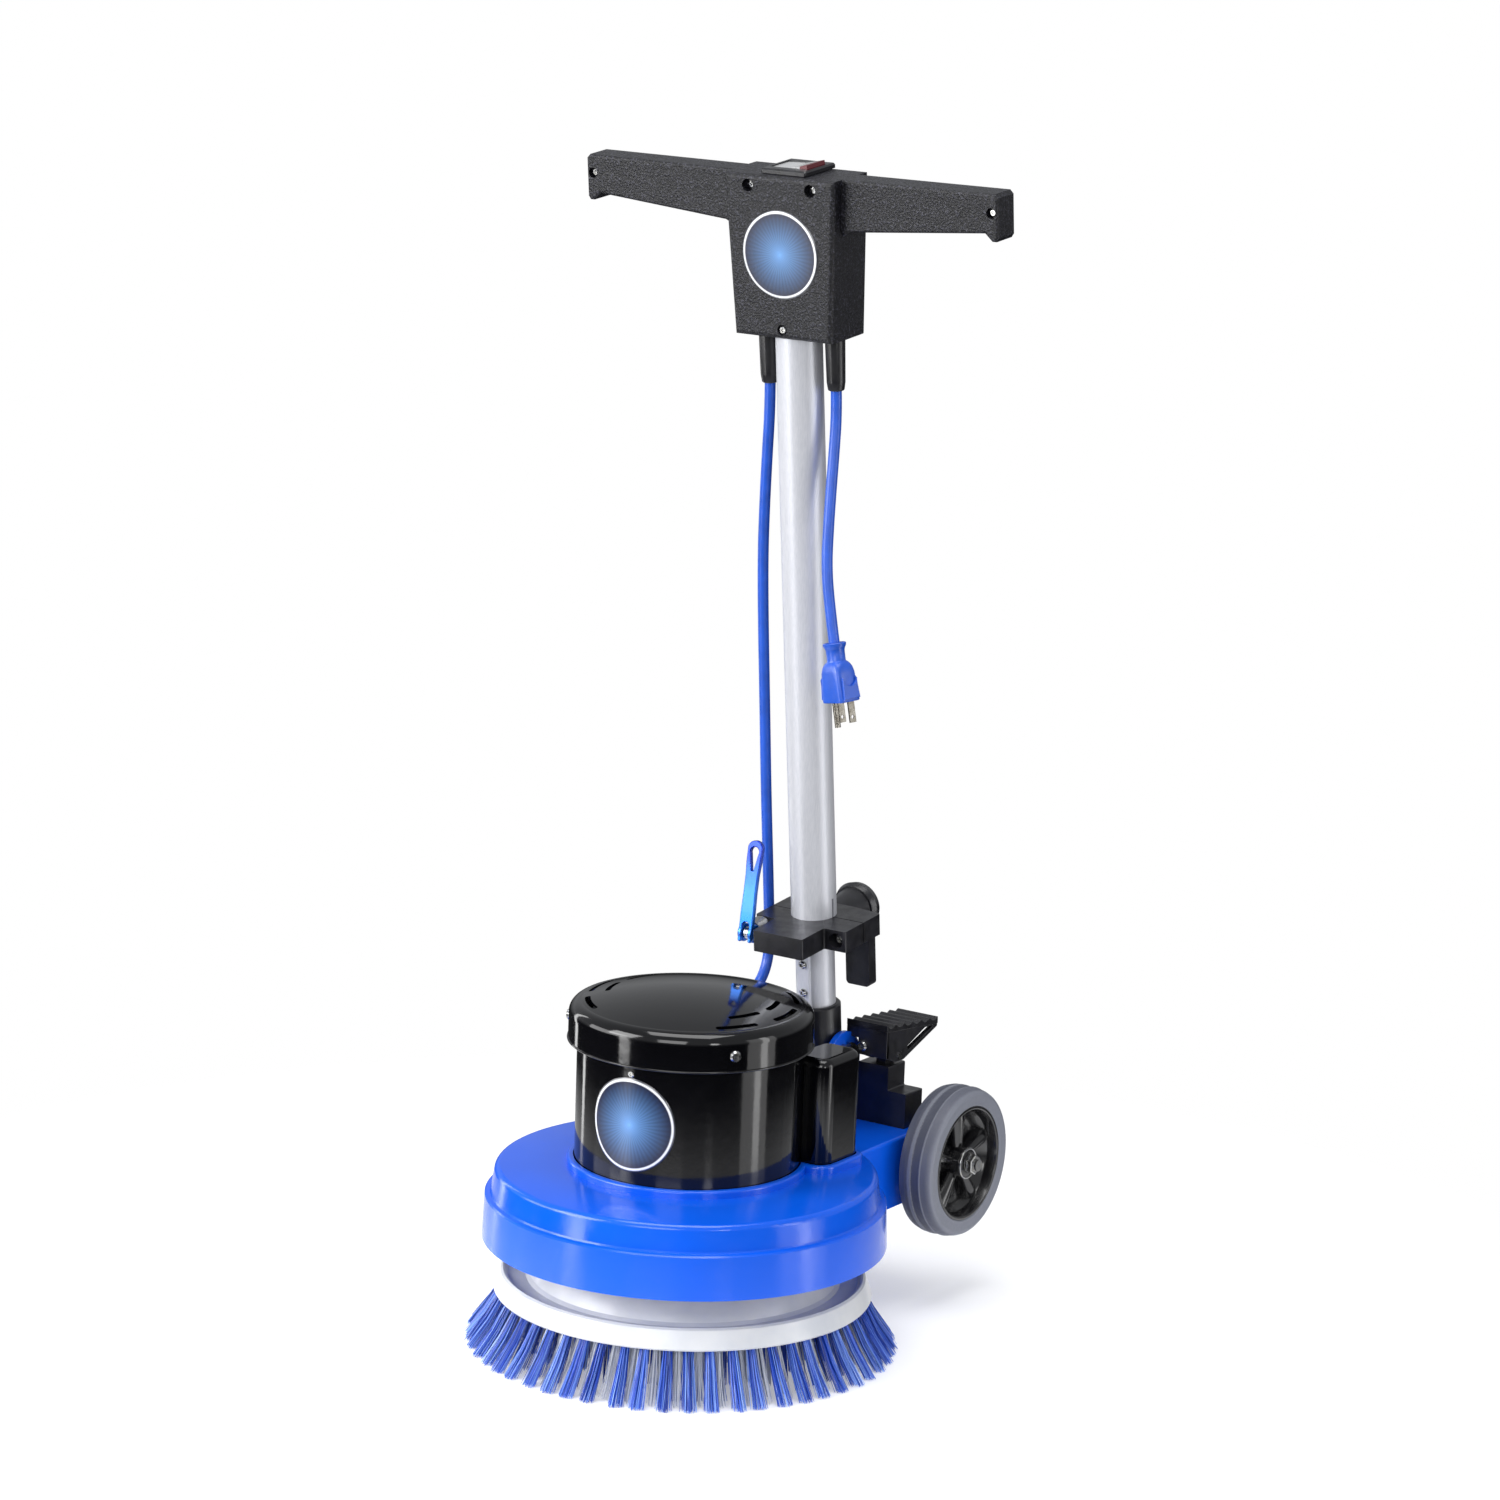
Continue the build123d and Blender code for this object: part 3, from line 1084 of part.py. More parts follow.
def head_half(side, block_depth, arm_depth):
    """One hollow half of the head, in front of the split (side -1) or behind it (side 1)."""
    split = Plane(origin=(0, side * SPLIT_GAP, 0), x_dir=(-side, 0, 0), z_dir=(0, side, 0))
    with BuildPart() as half:
        add(rounded_slab(BLOCK_OUTLINE, split, block_depth, 4))
        add(rounded_slab(ARM_OUTLINE, split, arm_depth, 2.2))
        for outline, depth in ((BLOCK_OUTLINE, block_depth), (ARM_OUTLINE, arm_depth)):
            with BuildSketch(split):
                Polygon(*outline, align=None)
                offset(amount=-HEAD_WALL, mode=Mode.REPLACE)
            extrude(amount=depth - HEAD_WALL, mode=Mode.SUBTRACT)
        # Screw bosses
        for places, radius, depth in ((FACE_SCREWS, 7.2, block_depth), (ARM_SCREWS, 5.8, arm_depth)):
            with BuildSketch(split):
                with Locations(*places):
                    Circle(radius)
            extrude(amount=depth - HEAD_WALL / 2)
        # Ways for the tube, the cords and the switch
        with BuildSketch(Plane.XY.offset(HEAD_BOTTOM - 1)):
            Circle(UPPER_TUBE_R)
            with Locations((-RELIEF_X, RELIEF_Y), (RELIEF_X, RELIEF_Y)):
                Circle(5.5)
        extrude(amount=HEAD_WALL + 3, mode=Mode.SUBTRACT)
        with BuildSketch(Plane.XY.offset(HEAD_TOP + 2)):
            with Locations((0, SWITCH_Y)):
                Rectangle(2 * (SWITCH_HALF_X + SWITCH_WALL), 2 * (SWITCH_HALF_Y + SWITCH_WALL))
        extrude(amount=-12, mode=Mode.SUBTRACT)
        # Screw holes, counterbored from the front
        front = Plane(origin=(0, FACE_Y, 0), x_dir=(1, 0, 0), z_dir=(0, -1, 0))
        for places, radius, reach in (
            (FACE_SCREWS + ARM_SCREWS, HEAD_SCREW_R, 34),
            ([TUBE_SCREW], HEAD_SCREW_R, 5.5),
            (FACE_SCREWS, FACE_RECESS_R, FACE_RECESS),
            ([TUBE_SCREW], TUBE_RECESS_R, TUBE_RECESS),
            (ARM_SCREWS, ARM_RECESS_R, ARM_FRONT_Y - FACE_Y + ARM_RECESS),
        ):
            with BuildSketch(front):
                with Locations(*places):
                    Circle(radius)
            extrude(amount=-reach, mode=Mode.SUBTRACT)
    return half.part


write(head_half(-1, -FACE_Y - SPLIT_GAP, -ARM_FRONT_Y - SPLIT_GAP), "head_front", HANDLE_PLACE)
write(head_half(1, BACK_Y - SPLIT_GAP, ARM_BACK_Y - SPLIT_GAP), "head_rear", HANDLE_PLACE)

with BuildPart() as head_screws:
    for x, height in FACE_SCREWS:
        add(screw((x, FACE_Y + FACE_RECESS, height), (0, -1, 0), 3.4, 2.0, HEAD_SCREW_R, 25.5))
    for x, height in ARM_SCREWS:
        add(screw((x, ARM_FRONT_Y + ARM_RECESS, height), (0, -1, 0), 3.0, 1.8, HEAD_SCREW_R, 14.5))
    tube_seat = (TUBE_SCREW[0], FACE_Y + TUBE_RECESS, TUBE_SCREW[1])
    add(screw(tube_seat, (0, -1, 0), 3.4, 2.0, HEAD_SCREW_R, 2.3))
write(head_screws.part, "head_screws", HANDLE_PLACE)

HEAD_BADGE_R = 36.0
HEAD_BADGE_HEIGHT = 685.5
with BuildPart() as head_badge:
    with BuildSketch(Plane(origin=(0, FACE_Y, HEAD_BADGE_HEIGHT), x_dir=(1, 0, 0), z_dir=(0, -1, 0))):
        Circle(HEAD_BADGE_R)
    extrude(amount=0.8)
write(head_badge.part, "head_badge", HANDLE_PLACE)

# ---------------------------------------------------------------- switch
BEZEL_TOP = HEAD_TOP + 4.5
SWITCH_FLOOR = HEAD_TOP - 8
HINGE_HEIGHT = HEAD_TOP + 1.5
ROCKER_TILT = 7.0
ROCKER_PIN_R = 1.5
with BuildPart() as switch_bezel:
    with BuildSketch(Plane.XY.offset(HEAD_TOP + 0.5)):
        with Locations((0, SWITCH_Y)):
            RectangleRounded(43, 44, 2)
    extrude(amount=BEZEL_TOP - HEAD_TOP - 0.5)
    chamfer(switch_bezel.faces().sort_by(Axis.Z)[-1].edges(), 1.2)
    with BuildSketch(Plane.XY.offset(SWITCH_FLOOR - 2)):
        with Locations((0, SWITCH_Y)):
            Rectangle(2 * (SWITCH_HALF_X + SWITCH_WALL), 2 * (SWITCH_HALF_Y + SWITCH_WALL))
    extrude(amount=HEAD_TOP + 1 - SWITCH_FLOOR + 2)
    with BuildSketch(Plane.XY.offset(SWITCH_FLOOR)):
        with Locations((0, SWITCH_Y)):
            Rectangle(2 * SWITCH_HALF_X, 2 * SWITCH_HALF_Y)
    extrude(amount=20, mode=Mode.SUBTRACT)
    add(
        rod(
            ROCKER_PIN_R + RUNNING_CLEARANCE,
            (0, SWITCH_Y - SWITCH_HALF_Y - 1, HINGE_HEIGHT),
            (0, SWITCH_Y + SWITCH_HALF_Y + 1, HINGE_HEIGHT),
        ),
        mode=Mode.SUBTRACT,
    )
write(switch_bezel.part, "switch_bezel", HANDLE_PLACE)

# The rocker is drawn level about its pin, then tipped so that its right end is up
with BuildPart() as rocker:
    with BuildSketch(Plane(origin=(0, SWITCH_HALF_Y - 0.3, 0), x_dir=(1, 0, 0), z_dir=(0, -1, 0))):
        Polygon(
            (-17.2, -2.5),
            (-9, -6.2),
            (9, -6.2),
            (17.2, -2.5),
            (17.2, 4.2),
            (0, 2.6),
            (-17.2, 4.2),
            align=None,
        )
    extrude(amount=2 * (SWITCH_HALF_Y - 0.3))
    add(rod(ROCKER_PIN_R, (0, -SWITCH_HALF_Y - 0.9, 0), (0, SWITCH_HALF_Y + 0.9, 0)))
ROCKER_PLACE = Location((0, SWITCH_Y, HINGE_HEIGHT), (0, -ROCKER_TILT, 0))
write(rocker.part, "rocker", HANDLE_PLACE * ROCKER_PLACE)

# ---------------------------------------------------------------- cords and plug
with BuildPart() as strain_reliefs:
    for side in (-1, 1):
        add(
            cone_rod(
                5.0,
                6.6,
                (side * RELIEF_X, RELIEF_Y, RELIEF_BOTTOM),
                (side * RELIEF_X, RELIEF_Y, HEAD_BOTTOM),
            )
        )
        add(rod(5.5, (side * RELIEF_X, RELIEF_Y, HEAD_BOTTOM), (side * RELIEF_X, RELIEF_Y, HEAD_BOTTOM + 4)))
write(strain_reliefs.part, "strain_reliefs", HANDLE_PLACE)

# Points along the tube's frame: X, Y behind the tube's axis, height above the pivot
MOTOR_LEAD_UPPER = [
    (-RELIEF_X, RELIEF_Y, RELIEF_BOTTOM),
    (-32.6, 3.9, 552.0),
    (-36.8, 4.0, 512.0),
    (-40.8, 4.2, 470.0),
    (-44.0, 4.4, 428.0),
    (-45.5, 4.3, 376.0),
    (-46.2, 4.0, 300.0),
    (-47.3, 3.8, 222.0),
    (-47.6, 4.0, 152.0),
    (-48.0, 3.9, LEAD_SPLIT + 1),
]
write(cord(MOTOR_LEAD_UPPER, arc_radii(MOTOR_LEAD_UPPER)), "motor_lead_upper", HANDLE_PLACE)

MOTOR_LEAD_LOWER = [
    (-48.0, 181.9, 300.8),
    (-48.3, 183.1, 284.6),
    (-48.5, 179.2, 268.3),
    (-48.3, 168.5, 256.4),
    (-47.8, 152.5, 250.6),
    (-47.0, 132.5, 250.6),
    LEAD_LAST_BEND,
    GROMMET_MOUTH,
]
write(cord(MOTOR_LEAD_LOWER, arc_radii(MOTOR_LEAD_LOWER)), "motor_lead_lower")

POWER_CORD = [
    (31.8, 128.4, 772.6),
    (32.0, 130.2, 752.0),
    (32.4, 128.2, 723.0),
    (33.2, 124.6, 692.0),
    (34.2, 121.2, 660.0),
    (35.2, 119.2, 628.0),
    (40.5, 118.0, 597.0),
    (46.1, 118.0, 568.5),
]
write(cord(POWER_CORD, arc_radii(POWER_CORD)), "power_cord")

PLUG_AXIS = Vector(*POWER_CORD[-1]) - Vector(*POWER_CORD[-2])
PLUG_TURN = -16.0
PLUG_LENGTH = 48.0
plug_across = Vector(cos(radians(PLUG_TURN)), sin(radians(PLUG_TURN)), 0)
plug_across -= PLUG_AXIS * (plug_across.dot(PLUG_AXIS) / PLUG_AXIS.length**2)
plug_top = Plane(origin=POWER_CORD[-1], x_dir=plug_across, z_dir=PLUG_AXIS)
with BuildPart() as plug_body:
    with BuildSketch(plug_top):
        Circle(9.5)
    with BuildSketch(plug_top.offset(5)):
        Circle(7.6)
    loft()
    with BuildSketch(plug_top.offset(5)):
        Circle(7.6)
    extrude(amount=12)
    with BuildSketch(plug_top.offset(16)):
        RectangleRounded(17, 15, 4)
    with BuildSketch(plug_top.offset(22)):
        RectangleRounded(23, 20, 5)
    loft()
    with BuildSketch(plug_top.offset(22)):
        RectangleRounded(23, 20, 5)
    with BuildSketch(plug_top.offset(PLUG_LENGTH)):
        RectangleRounded(25.5, 22, 5)
    loft()
write(plug_body.part, "plug_body")

with BuildPart() as plug_blades:
    with BuildSketch(plug_top.offset(PLUG_LENGTH)):
        with Locations((-6.35, -4), (6.35, -4)):
            Rectangle(1.5, 6.3)
    extrude(amount=17.5)
    add(
        rod(
            1.6,
            plug_top.offset(PLUG_LENGTH + 13).from_local_coords((-12, -4, 0)),
            plug_top.offset(PLUG_LENGTH + 13).from_local_coords((12, -4, 0)),
        ),
        mode=Mode.SUBTRACT,
    )
    with BuildSketch(plug_top.offset(PLUG_LENGTH)):
        with Locations((0, 7)):
            Circle(2.4)
    extrude(amount=20)
write(plug_blades.part, "plug_blades")
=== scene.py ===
"""Looks of a rotary floor machine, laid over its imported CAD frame.

Lengths are in metres. Outlines and routes are tables in millimetres, which MM turns into metres.
"""

import json
import math
import random

import bpy
from mathutils import Matrix, Vector


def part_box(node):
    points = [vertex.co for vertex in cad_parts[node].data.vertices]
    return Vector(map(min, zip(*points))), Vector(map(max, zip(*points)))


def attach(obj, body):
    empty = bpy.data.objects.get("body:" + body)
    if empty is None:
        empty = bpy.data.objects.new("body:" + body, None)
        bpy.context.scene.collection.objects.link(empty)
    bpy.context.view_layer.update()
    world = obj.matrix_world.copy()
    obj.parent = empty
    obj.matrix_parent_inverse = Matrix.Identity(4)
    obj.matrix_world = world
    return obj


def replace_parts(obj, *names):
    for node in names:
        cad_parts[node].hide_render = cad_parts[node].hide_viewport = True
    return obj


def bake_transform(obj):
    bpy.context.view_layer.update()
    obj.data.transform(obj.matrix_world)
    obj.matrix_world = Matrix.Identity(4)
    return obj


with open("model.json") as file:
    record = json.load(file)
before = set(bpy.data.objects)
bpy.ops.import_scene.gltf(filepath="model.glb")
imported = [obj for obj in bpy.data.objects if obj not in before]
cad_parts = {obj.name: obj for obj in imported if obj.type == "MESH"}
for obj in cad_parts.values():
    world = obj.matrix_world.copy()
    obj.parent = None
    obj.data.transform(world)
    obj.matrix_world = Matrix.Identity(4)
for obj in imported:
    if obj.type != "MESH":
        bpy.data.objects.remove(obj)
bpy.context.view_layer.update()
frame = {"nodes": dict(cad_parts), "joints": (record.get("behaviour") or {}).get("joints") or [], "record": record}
nodes = frame["nodes"]
joints = {joint["name"]: joint for joint in frame["joints"]}
scene = bpy.context.scene
random.seed(41)

MM = 0.001
TURN = 2 * math.pi

# ---------------------------------------------------------------- driving places
# Places on the handle are given upright, from its pivot; HANDLE takes them to the lean it rests at.
LEAN = math.radians(6.48)
PIVOT = Vector(joints["handle_tilt"]["pos_m"])
HANDLE = Matrix.Translation(PIVOT) @ Matrix.Rotation(LEAN, 4, "X")

# The wheels: (direction along X, name), and how far across the right-hand tyre starts and ends
WHEELS = ((1, "right"), (-1, "left"))
AXLE = Vector(joints["wheel_right_spin"]["pos_m"])
TYRE_INNER, TYRE_OUTER = [corner.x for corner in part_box("tyre_right")]

BRUSH_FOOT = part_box("brush_block")[0].z
CORD_RADIUS = 4.5 * MM


# ---------------------------------------------------------------- camera and studio
CAMERA_PLACE = (2.1380, -3.1414, 1.3178)
CAMERA_TURN = (77.752, -2.011, 34.086)
CAMERA_LENS = 117.5

LIGHTS = [
    # name, place, aim, (width, height), power in watts
    ("key_left", (-1.7, -2.5, 1.7), (0, 0, 0.3), (1.6, 1.8), 70),
    ("front_fill", (1.0, -3.3, 1.5), (0, 0, 0.2), (1.6, 1.6), 36),
    ("side_right", (2.35, 0.55, 0.2), (0, 0, 0.2), (1.3, 2.4), 14),
    ("strip_right", (2.2, 0.62, 0.2), (0, 0, 0.2), (0.3, 2.4), 8),
    ("low_left", (-1.85, -1.55, 0.75), (0, 0, 0.25), (2.0, 0.9), 22),
    ("head_edge", (1.9, -1.3, 0.68), (0, 0, 0.8), (0.3, 0.5), 4),
    ("low_strip", (-1.16, -2.1, 0.1), (0, 0, 0.2), (0.45, 1.0), 9),
    ("strip_left", (-2.4, 0.4, 0.4), (0, 0, 0.4), (0.25, 2.6), 8),
    ("top_soft", (0.1, -0.3, 2.9), (0, 0, 0.2), (2.0, 1.6), 46),
]

# The studio as the object sees it: (height from 0 below to 1 overhead, brightness), and its tint
SKY = [(0.45, 0.03), (0.58, 0.46)]
SKY_TINT = (0.95, 0.97, 1)


def make_camera():
    data = bpy.data.cameras.new("camera")
    data.lens = CAMERA_LENS
    data.sensor_width = 36
    data.clip_start = 0.05
    data.clip_end = 60
    camera = bpy.data.objects.new("camera", data)
    camera.location = CAMERA_PLACE
    camera.rotation_euler = [math.radians(angle) for angle in CAMERA_TURN]
    scene.collection.objects.link(camera)
    scene.camera = camera


def make_lights():
    """Soft rectangles all round, with narrow ones for the bright lines on the glossy black."""
    for name, place, aim, size, power in LIGHTS:
        data = bpy.data.lights.new(name, "AREA")
        data.shape = "RECTANGLE"
        data.size, data.size_y = size
        data.energy = power
        lamp = bpy.data.objects.new(name, data)
        lamp.location = place
        lamp.rotation_euler = (Vector(aim) - Vector(place)).to_track_quat("-Z", "Y").to_euler()
        scene.collection.objects.link(lamp)


def make_world():
    """Plain white behind the object, which is itself lit by a grey that is dark below."""
    world = bpy.data.worlds.new("studio")
    scene.world = world
    world.use_nodes = True
    tree = world.node_tree
    tree.nodes.clear()
    seen = tree.nodes.new("ShaderNodeBackground")
    seen.inputs["Color"].default_value = (1, 1, 1, 1)
    lit = tree.nodes.new("ShaderNodeBackground")
    heading = tree.nodes.new("ShaderNodeTexCoord")
    split = tree.nodes.new("ShaderNodeSeparateXYZ")
    sky = tree.nodes.new("ShaderNodeValToRGB")
    for element, (place, grey) in zip(sky.color_ramp.elements, SKY):
        element.position = place
        element.color = (*(grey * share for share in SKY_TINT), 1)
    lift = tree.nodes.new("ShaderNodeMapRange")
    lift.inputs["From Min"].default_value = -1
    path = tree.nodes.new("ShaderNodeLightPath")
    mix = tree.nodes.new("ShaderNodeMixShader")
    out = tree.nodes.new("ShaderNodeOutputWorld")
    for source, socket in (
        (heading.outputs["Generated"], split.inputs[0]), (split.outputs["Z"], lift.inputs["Value"]),
        (lift.outputs["Result"], sky.inputs["Fac"]), (sky.outputs["Color"], lit.inputs["Color"]),
        (path.outputs["Is Camera Ray"], mix.inputs[0]), (lit.outputs[0], mix.inputs[1]),
        (seen.outputs[0], mix.inputs[2]), (mix.outputs[0], out.inputs["Surface"]),
    ):
        tree.links.new(source, socket)


# ---------------------------------------------------------------- material tools
def srgb(red, green, blue):
    """A display colour, 0 to 255, as the linear colour that shaders take."""
    linear = []
    for value in (red, green, blue):
        share = value / 255
        linear.append(share / 12.92 if share <= 0.04045 else ((share + 0.055) / 1.055) ** 2.4)
    return (*linear, 1)


class Finish:
    """A Principled material whose colour, roughness and bump take procedural detail in layers."""

    def __init__(self, name, colour, roughness, metallic=0.0, coat=0.0, coat_roughness=0.04, specular=0.5):
        self.material = bpy.data.materials.new(name)
        self.material.use_nodes = True
        self.tree = self.material.node_tree
        self.shader = self.tree.nodes["Principled BSDF"]
        self.set("Base Color", colour)
        self.set("Roughness", roughness)
        self.set("Metallic", metallic)
        self.set("Coat Weight", coat)
        self.set("Coat Roughness", coat_roughness)
        self.set("Specular IOR Level", specular)
        self.place = self.tree.nodes.new("ShaderNodeTexCoord").outputs["Object"]
        self.bump = None

    def set(self, socket, value):
        self.shader.inputs[socket].default_value = value

    def node(self, kind, **inputs):
        made = self.tree.nodes.new("ShaderNode" + kind)
        for name, value in inputs.items():
            made.inputs[name.replace("_", " ")].default_value = value
        return made

    def link(self, output, socket):
        self.tree.links.new(output, socket)

    def attribute(self, name, output):
        """An attribute of the mesh's points."""
        made = self.tree.nodes.new("ShaderNodeAttribute")
        made.attribute_name = name
        return made.outputs[output]

    def along(self, axis):
        """The place along one of the object's own axes, in metres."""
        split = self.node("SeparateXYZ")
        self.link(self.place, split.inputs[0])
        return split.outputs[axis]

    def noise(self, scale, detail=3.0, stretch=None, roughness=0.5):
        """Noise with about scale lumps a metre, scaled again along each axis by stretch."""
        made = self.node("TexNoise", Scale=scale, Detail=detail, Roughness=roughness)
        if stretch:
            warp = self.node("Mapping", Scale=stretch)
            self.link(self.place, warp.inputs["Vector"])
            self.link(warp.outputs[0], made.inputs["Vector"])
        else:
            self.link(self.place, made.inputs["Vector"])
        return made.outputs["Fac"]

    def spread(self, source, low, high, start=0.3, end=0.7):
        """The source's value between start and end, drawn out to run from low to high."""
        made = self.tree.nodes.new("ShaderNodeMapRange")
        for name, value in (("From Min", start), ("From Max", end), ("To Min", low), ("To Max", high)):
            made.inputs[name].default_value = value
        self.link(source, made.inputs["Value"])
        return made.outputs["Result"]

    def bands(self, source, stops):
        """Colour from (place, colour) stops along the source's value."""
        made = self.tree.nodes.new("ShaderNodeValToRGB")
        elements = made.color_ramp.elements
        while len(elements) < len(stops):
            elements.new(0.5)
        for element, (place, colour) in zip(elements, stops):
            element.position = place
            element.color = colour
        self.link(source, made.inputs["Fac"])
        self.link(made.outputs["Color"], self.shader.inputs["Base Color"])
        return self

    def tint(self, source, dark, light, start=0.35, end=0.65):
        """Colour that wanders between two shades."""
        return self.bands(source, [(start, dark), (end, light)])

    def polish(self, source, low, high):
        """Roughness that wanders between low and high."""
        self.link(self.spread(source, low, high), self.shader.inputs["Roughness"])
        return self

    def relief(self, source, height, strength=1.0):
        """A bump of that height, on top of any before it."""
        made = self.node("Bump", Strength=strength, Distance=height)
        self.link(source, made.inputs["Height"])
        if self.bump:
            self.link(self.bump, made.inputs["Normal"])
        self.bump = made.outputs["Normal"]
        self.link(self.bump, self.shader.inputs["Normal"])
        return self


def shade_pair(colour, spread):
    """The colour a little darker and a little lighter."""
    dark = tuple(value * (1 - spread) for value in colour[:3])
    light = tuple(min(1.0, value * (1 + spread)) for value in colour[:3])
    return (*dark, 1), (*light, 1)


# ---------------------------------------------------------------- materials
def housing_blue():
    """Glossy royal-blue moulding with a faint orange peel."""
    blue = srgb(6, 86, 216)
    made = Finish("housing_blue", blue, 0.16)
    made.tint(made.noise(9, 2), *shade_pair(blue, 0.05))
    made.polish(made.noise(60, 4), 0.12, 0.22)
    made.relief(made.noise(260, 2), 0.05 * MM)
    return made.relief(made.noise(2600, 2), 0.01 * MM)


def motor_black():
    """Black stove enamel, glossy, with a slow ripple."""
    made = Finish("motor_black", srgb(5, 5, 7), 0.08)
    made.tint(made.noise(14, 3), srgb(3, 3, 5), srgb(7, 7, 10))
    made.polish(made.noise(55, 4), 0.06, 0.12)
    return made.relief(made.noise(120, 2), 0.04 * MM)


def part_black():
    """Moulded black plastic with a fine satin grain."""
    made = Finish("part_black", srgb(20, 20, 25), 0.34, coat=0.15, coat_roughness=0.2)
    made.tint(made.noise(70, 4), srgb(13, 13, 17), srgb(27, 27, 33))
    made.polish(made.noise(120, 4), 0.28, 0.44)
    return made.relief(made.noise(1800, 3), 0.05 * MM)


def head_black():
    """Black plastic with a coarse moulded leather grain, pale on the grain's crests as painted highlight and
    darker in its hollows as painted shade.
    """
    made = Finish("head_black", srgb(18, 18, 23), 0.36, specular=0.4)
    grain = made.noise(620, 3, roughness=0.6)
    # Painted light on the grain: dark in its hollows is painted shade, pale on its crests is painted highlight
    dark, mid, pale = srgb(6, 6, 10), srgb(15, 15, 21), srgb(70, 70, 82)
    made.bands(grain, [(0.38, dark), (0.54, mid), (0.70, pale)])
    made.polish(made.noise(400, 3), 0.3, 0.44)
    return made.relief(grain, 0.9 * MM, 0.9)


def tube_aluminium():
    """Satin anodised aluminium, drawn along the tube."""
    made = Finish("tube_aluminium", srgb(206, 207, 214), 0.36, metallic=0.4)
    along = made.noise(1400, 3, stretch=(1, 1, 0.02))
    made.tint(along, srgb(201, 203, 210), srgb(211, 212, 218))
    made.polish(along, 0.4, 0.46)
    return made.relief(along, 0.002 * MM)


def lever_blue():
    """Blue anodising, with painted shade that darkens the blue towards the lever's eye."""
    made = Finish("lever_blue", srgb(30, 106, 214), 0.3, metallic=0.7, coat=0.5)
    # Painted shade: the blue darkens from the middle of the blade towards its eye
    pale, eye_end_shade = srgb(34, 112, 216), srgb(8, 50, 168)
    made.tint(made.spread(made.along("Y"), 0, 1, 30 * MM, 66 * MM), pale, eye_end_shade, 0.1, 0.9)
    made.polish(made.noise(150, 3), 0.26, 0.34)
    return made.relief(made.noise(2400, 2), 0.002 * MM)


def cord_blue():
    """Satin blue PVC of the leads and the plug."""
    blue = srgb(26, 82, 192)
    made = Finish("cord_blue", blue, 0.34, coat=0.3, coat_roughness=0.2)
    made.tint(made.noise(60, 3), *shade_pair(blue, 0.1))
    made.polish(made.noise(300, 3), 0.32, 0.46)
    return made.relief(made.noise(1500, 3), 0.03 * MM)


def brush_white():
    """Satin white polypropylene of the brush's block."""
    made = Finish("brush_white", srgb(208, 210, 214), 0.34, coat=0.25, coat_roughness=0.15)
    made.tint(made.noise(25, 4), srgb(200, 203, 208), srgb(216, 217, 218))
    made.polish(made.noise(90, 3), 0.28, 0.42)
    return made.relief(made.noise(500, 3), 0.03 * MM)


def bristle(name, dark, mid, pale):
    """Filament whose shade comes from the strand that it is on."""
    made = Finish(name, mid, 0.34, specular=0.6)
    made.bands(made.attribute("strand", "Fac"), [(0.0, dark), (0.5, mid), (1.0, pale)])
    return made.relief(made.noise(3500, 2), 0.04 * MM)


def bristle_blue():
    return bristle("bristle_blue", srgb(5, 26, 98), srgb(26, 78, 204), srgb(150, 190, 255))


def bristle_pale():
    return bristle("bristle_pale", srgb(150, 158, 176), srgb(204, 210, 222), srgb(246, 247, 250))


def tyre_grey():
    """Chalky grey rubber, faintly clouded, with painted light and shade in bands across its tread: pale on the
    raised band, the rib and the outer edge, dark in the sunk tread.
    """
    made = Finish("tyre_grey", srgb(100, 102, 116), 0.5)
    cloudy = made.node("Math")
    cloudy.operation = "ADD"
    made.link(made.spread(made.along("Z"), 0, 1, 0, TYRE_OUTER - TYRE_INNER), cloudy.inputs[0])
    made.link(made.spread(made.noise(700, 3), -0.008, 0.008), cloudy.inputs[1])
    # Painted light and shade: the stops are pale on the tread's raised band and rib and dark in its sunk parts
    dark, mid, pale = srgb(70, 73, 87), srgb(90, 93, 106), srgb(116, 119, 130)
    made.bands(cloudy.outputs[0], [
        (0.0, mid), (0.30, dark), (0.35, pale), (0.42, pale), (0.45, dark), (0.64, dark), (0.68, pale),
        (0.72, mid), (0.88, mid), (0.96, pale),
    ])
    made.polish(made.noise(240, 4), 0.42, 0.6)
    made.relief(made.noise(90, 2, stretch=(0.05, 0.05, 22)), 0.12 * MM)
    return made.relief(made.noise(1400, 4), 0.1 * MM)


def hub_black():
    """Glossy black nylon."""
    made = Finish("hub_black", srgb(13, 13, 16), 0.2, coat=0.6, coat_roughness=0.12)
    made.tint(made.noise(80, 3), srgb(10, 10, 13), srgb(17, 17, 20))
    made.polish(made.noise(130, 3), 0.18, 0.26)
    return made.relief(made.noise(700, 3), 0.01 * MM)


def zinc_steel():
    """Bright zinc plate with a faint warm bloom."""
    made = Finish("zinc_steel", srgb(168, 170, 176), 0.2, metallic=1.0)
    made.tint(made.noise(300, 3), srgb(154, 156, 162), srgb(174, 173, 168))
    made.polish(made.noise(600, 3), 0.14, 0.26)
    return made.relief(made.noise(1600, 3), 0.004 * MM)


def machined_steel():
    """Turned steel of the shafts, bearings and gears."""
    made = Finish("machined_steel", srgb(150, 153, 158), 0.34, metallic=1.0)
    turned = made.noise(1200, 2, stretch=(1, 1, 6))
    made.tint(turned, srgb(136, 139, 146), srgb(170, 172, 176))
    return made.polish(turned, 0.26, 0.44)


def cast_metal():
    """Rough grey casting."""
    made = Finish("cast_metal", srgb(120, 123, 128), 0.6, metallic=0.8)
    made.tint(made.noise(90, 5), srgb(98, 101, 106), srgb(140, 142, 146))
    return made.relief(made.noise(900, 4), 0.2 * MM)


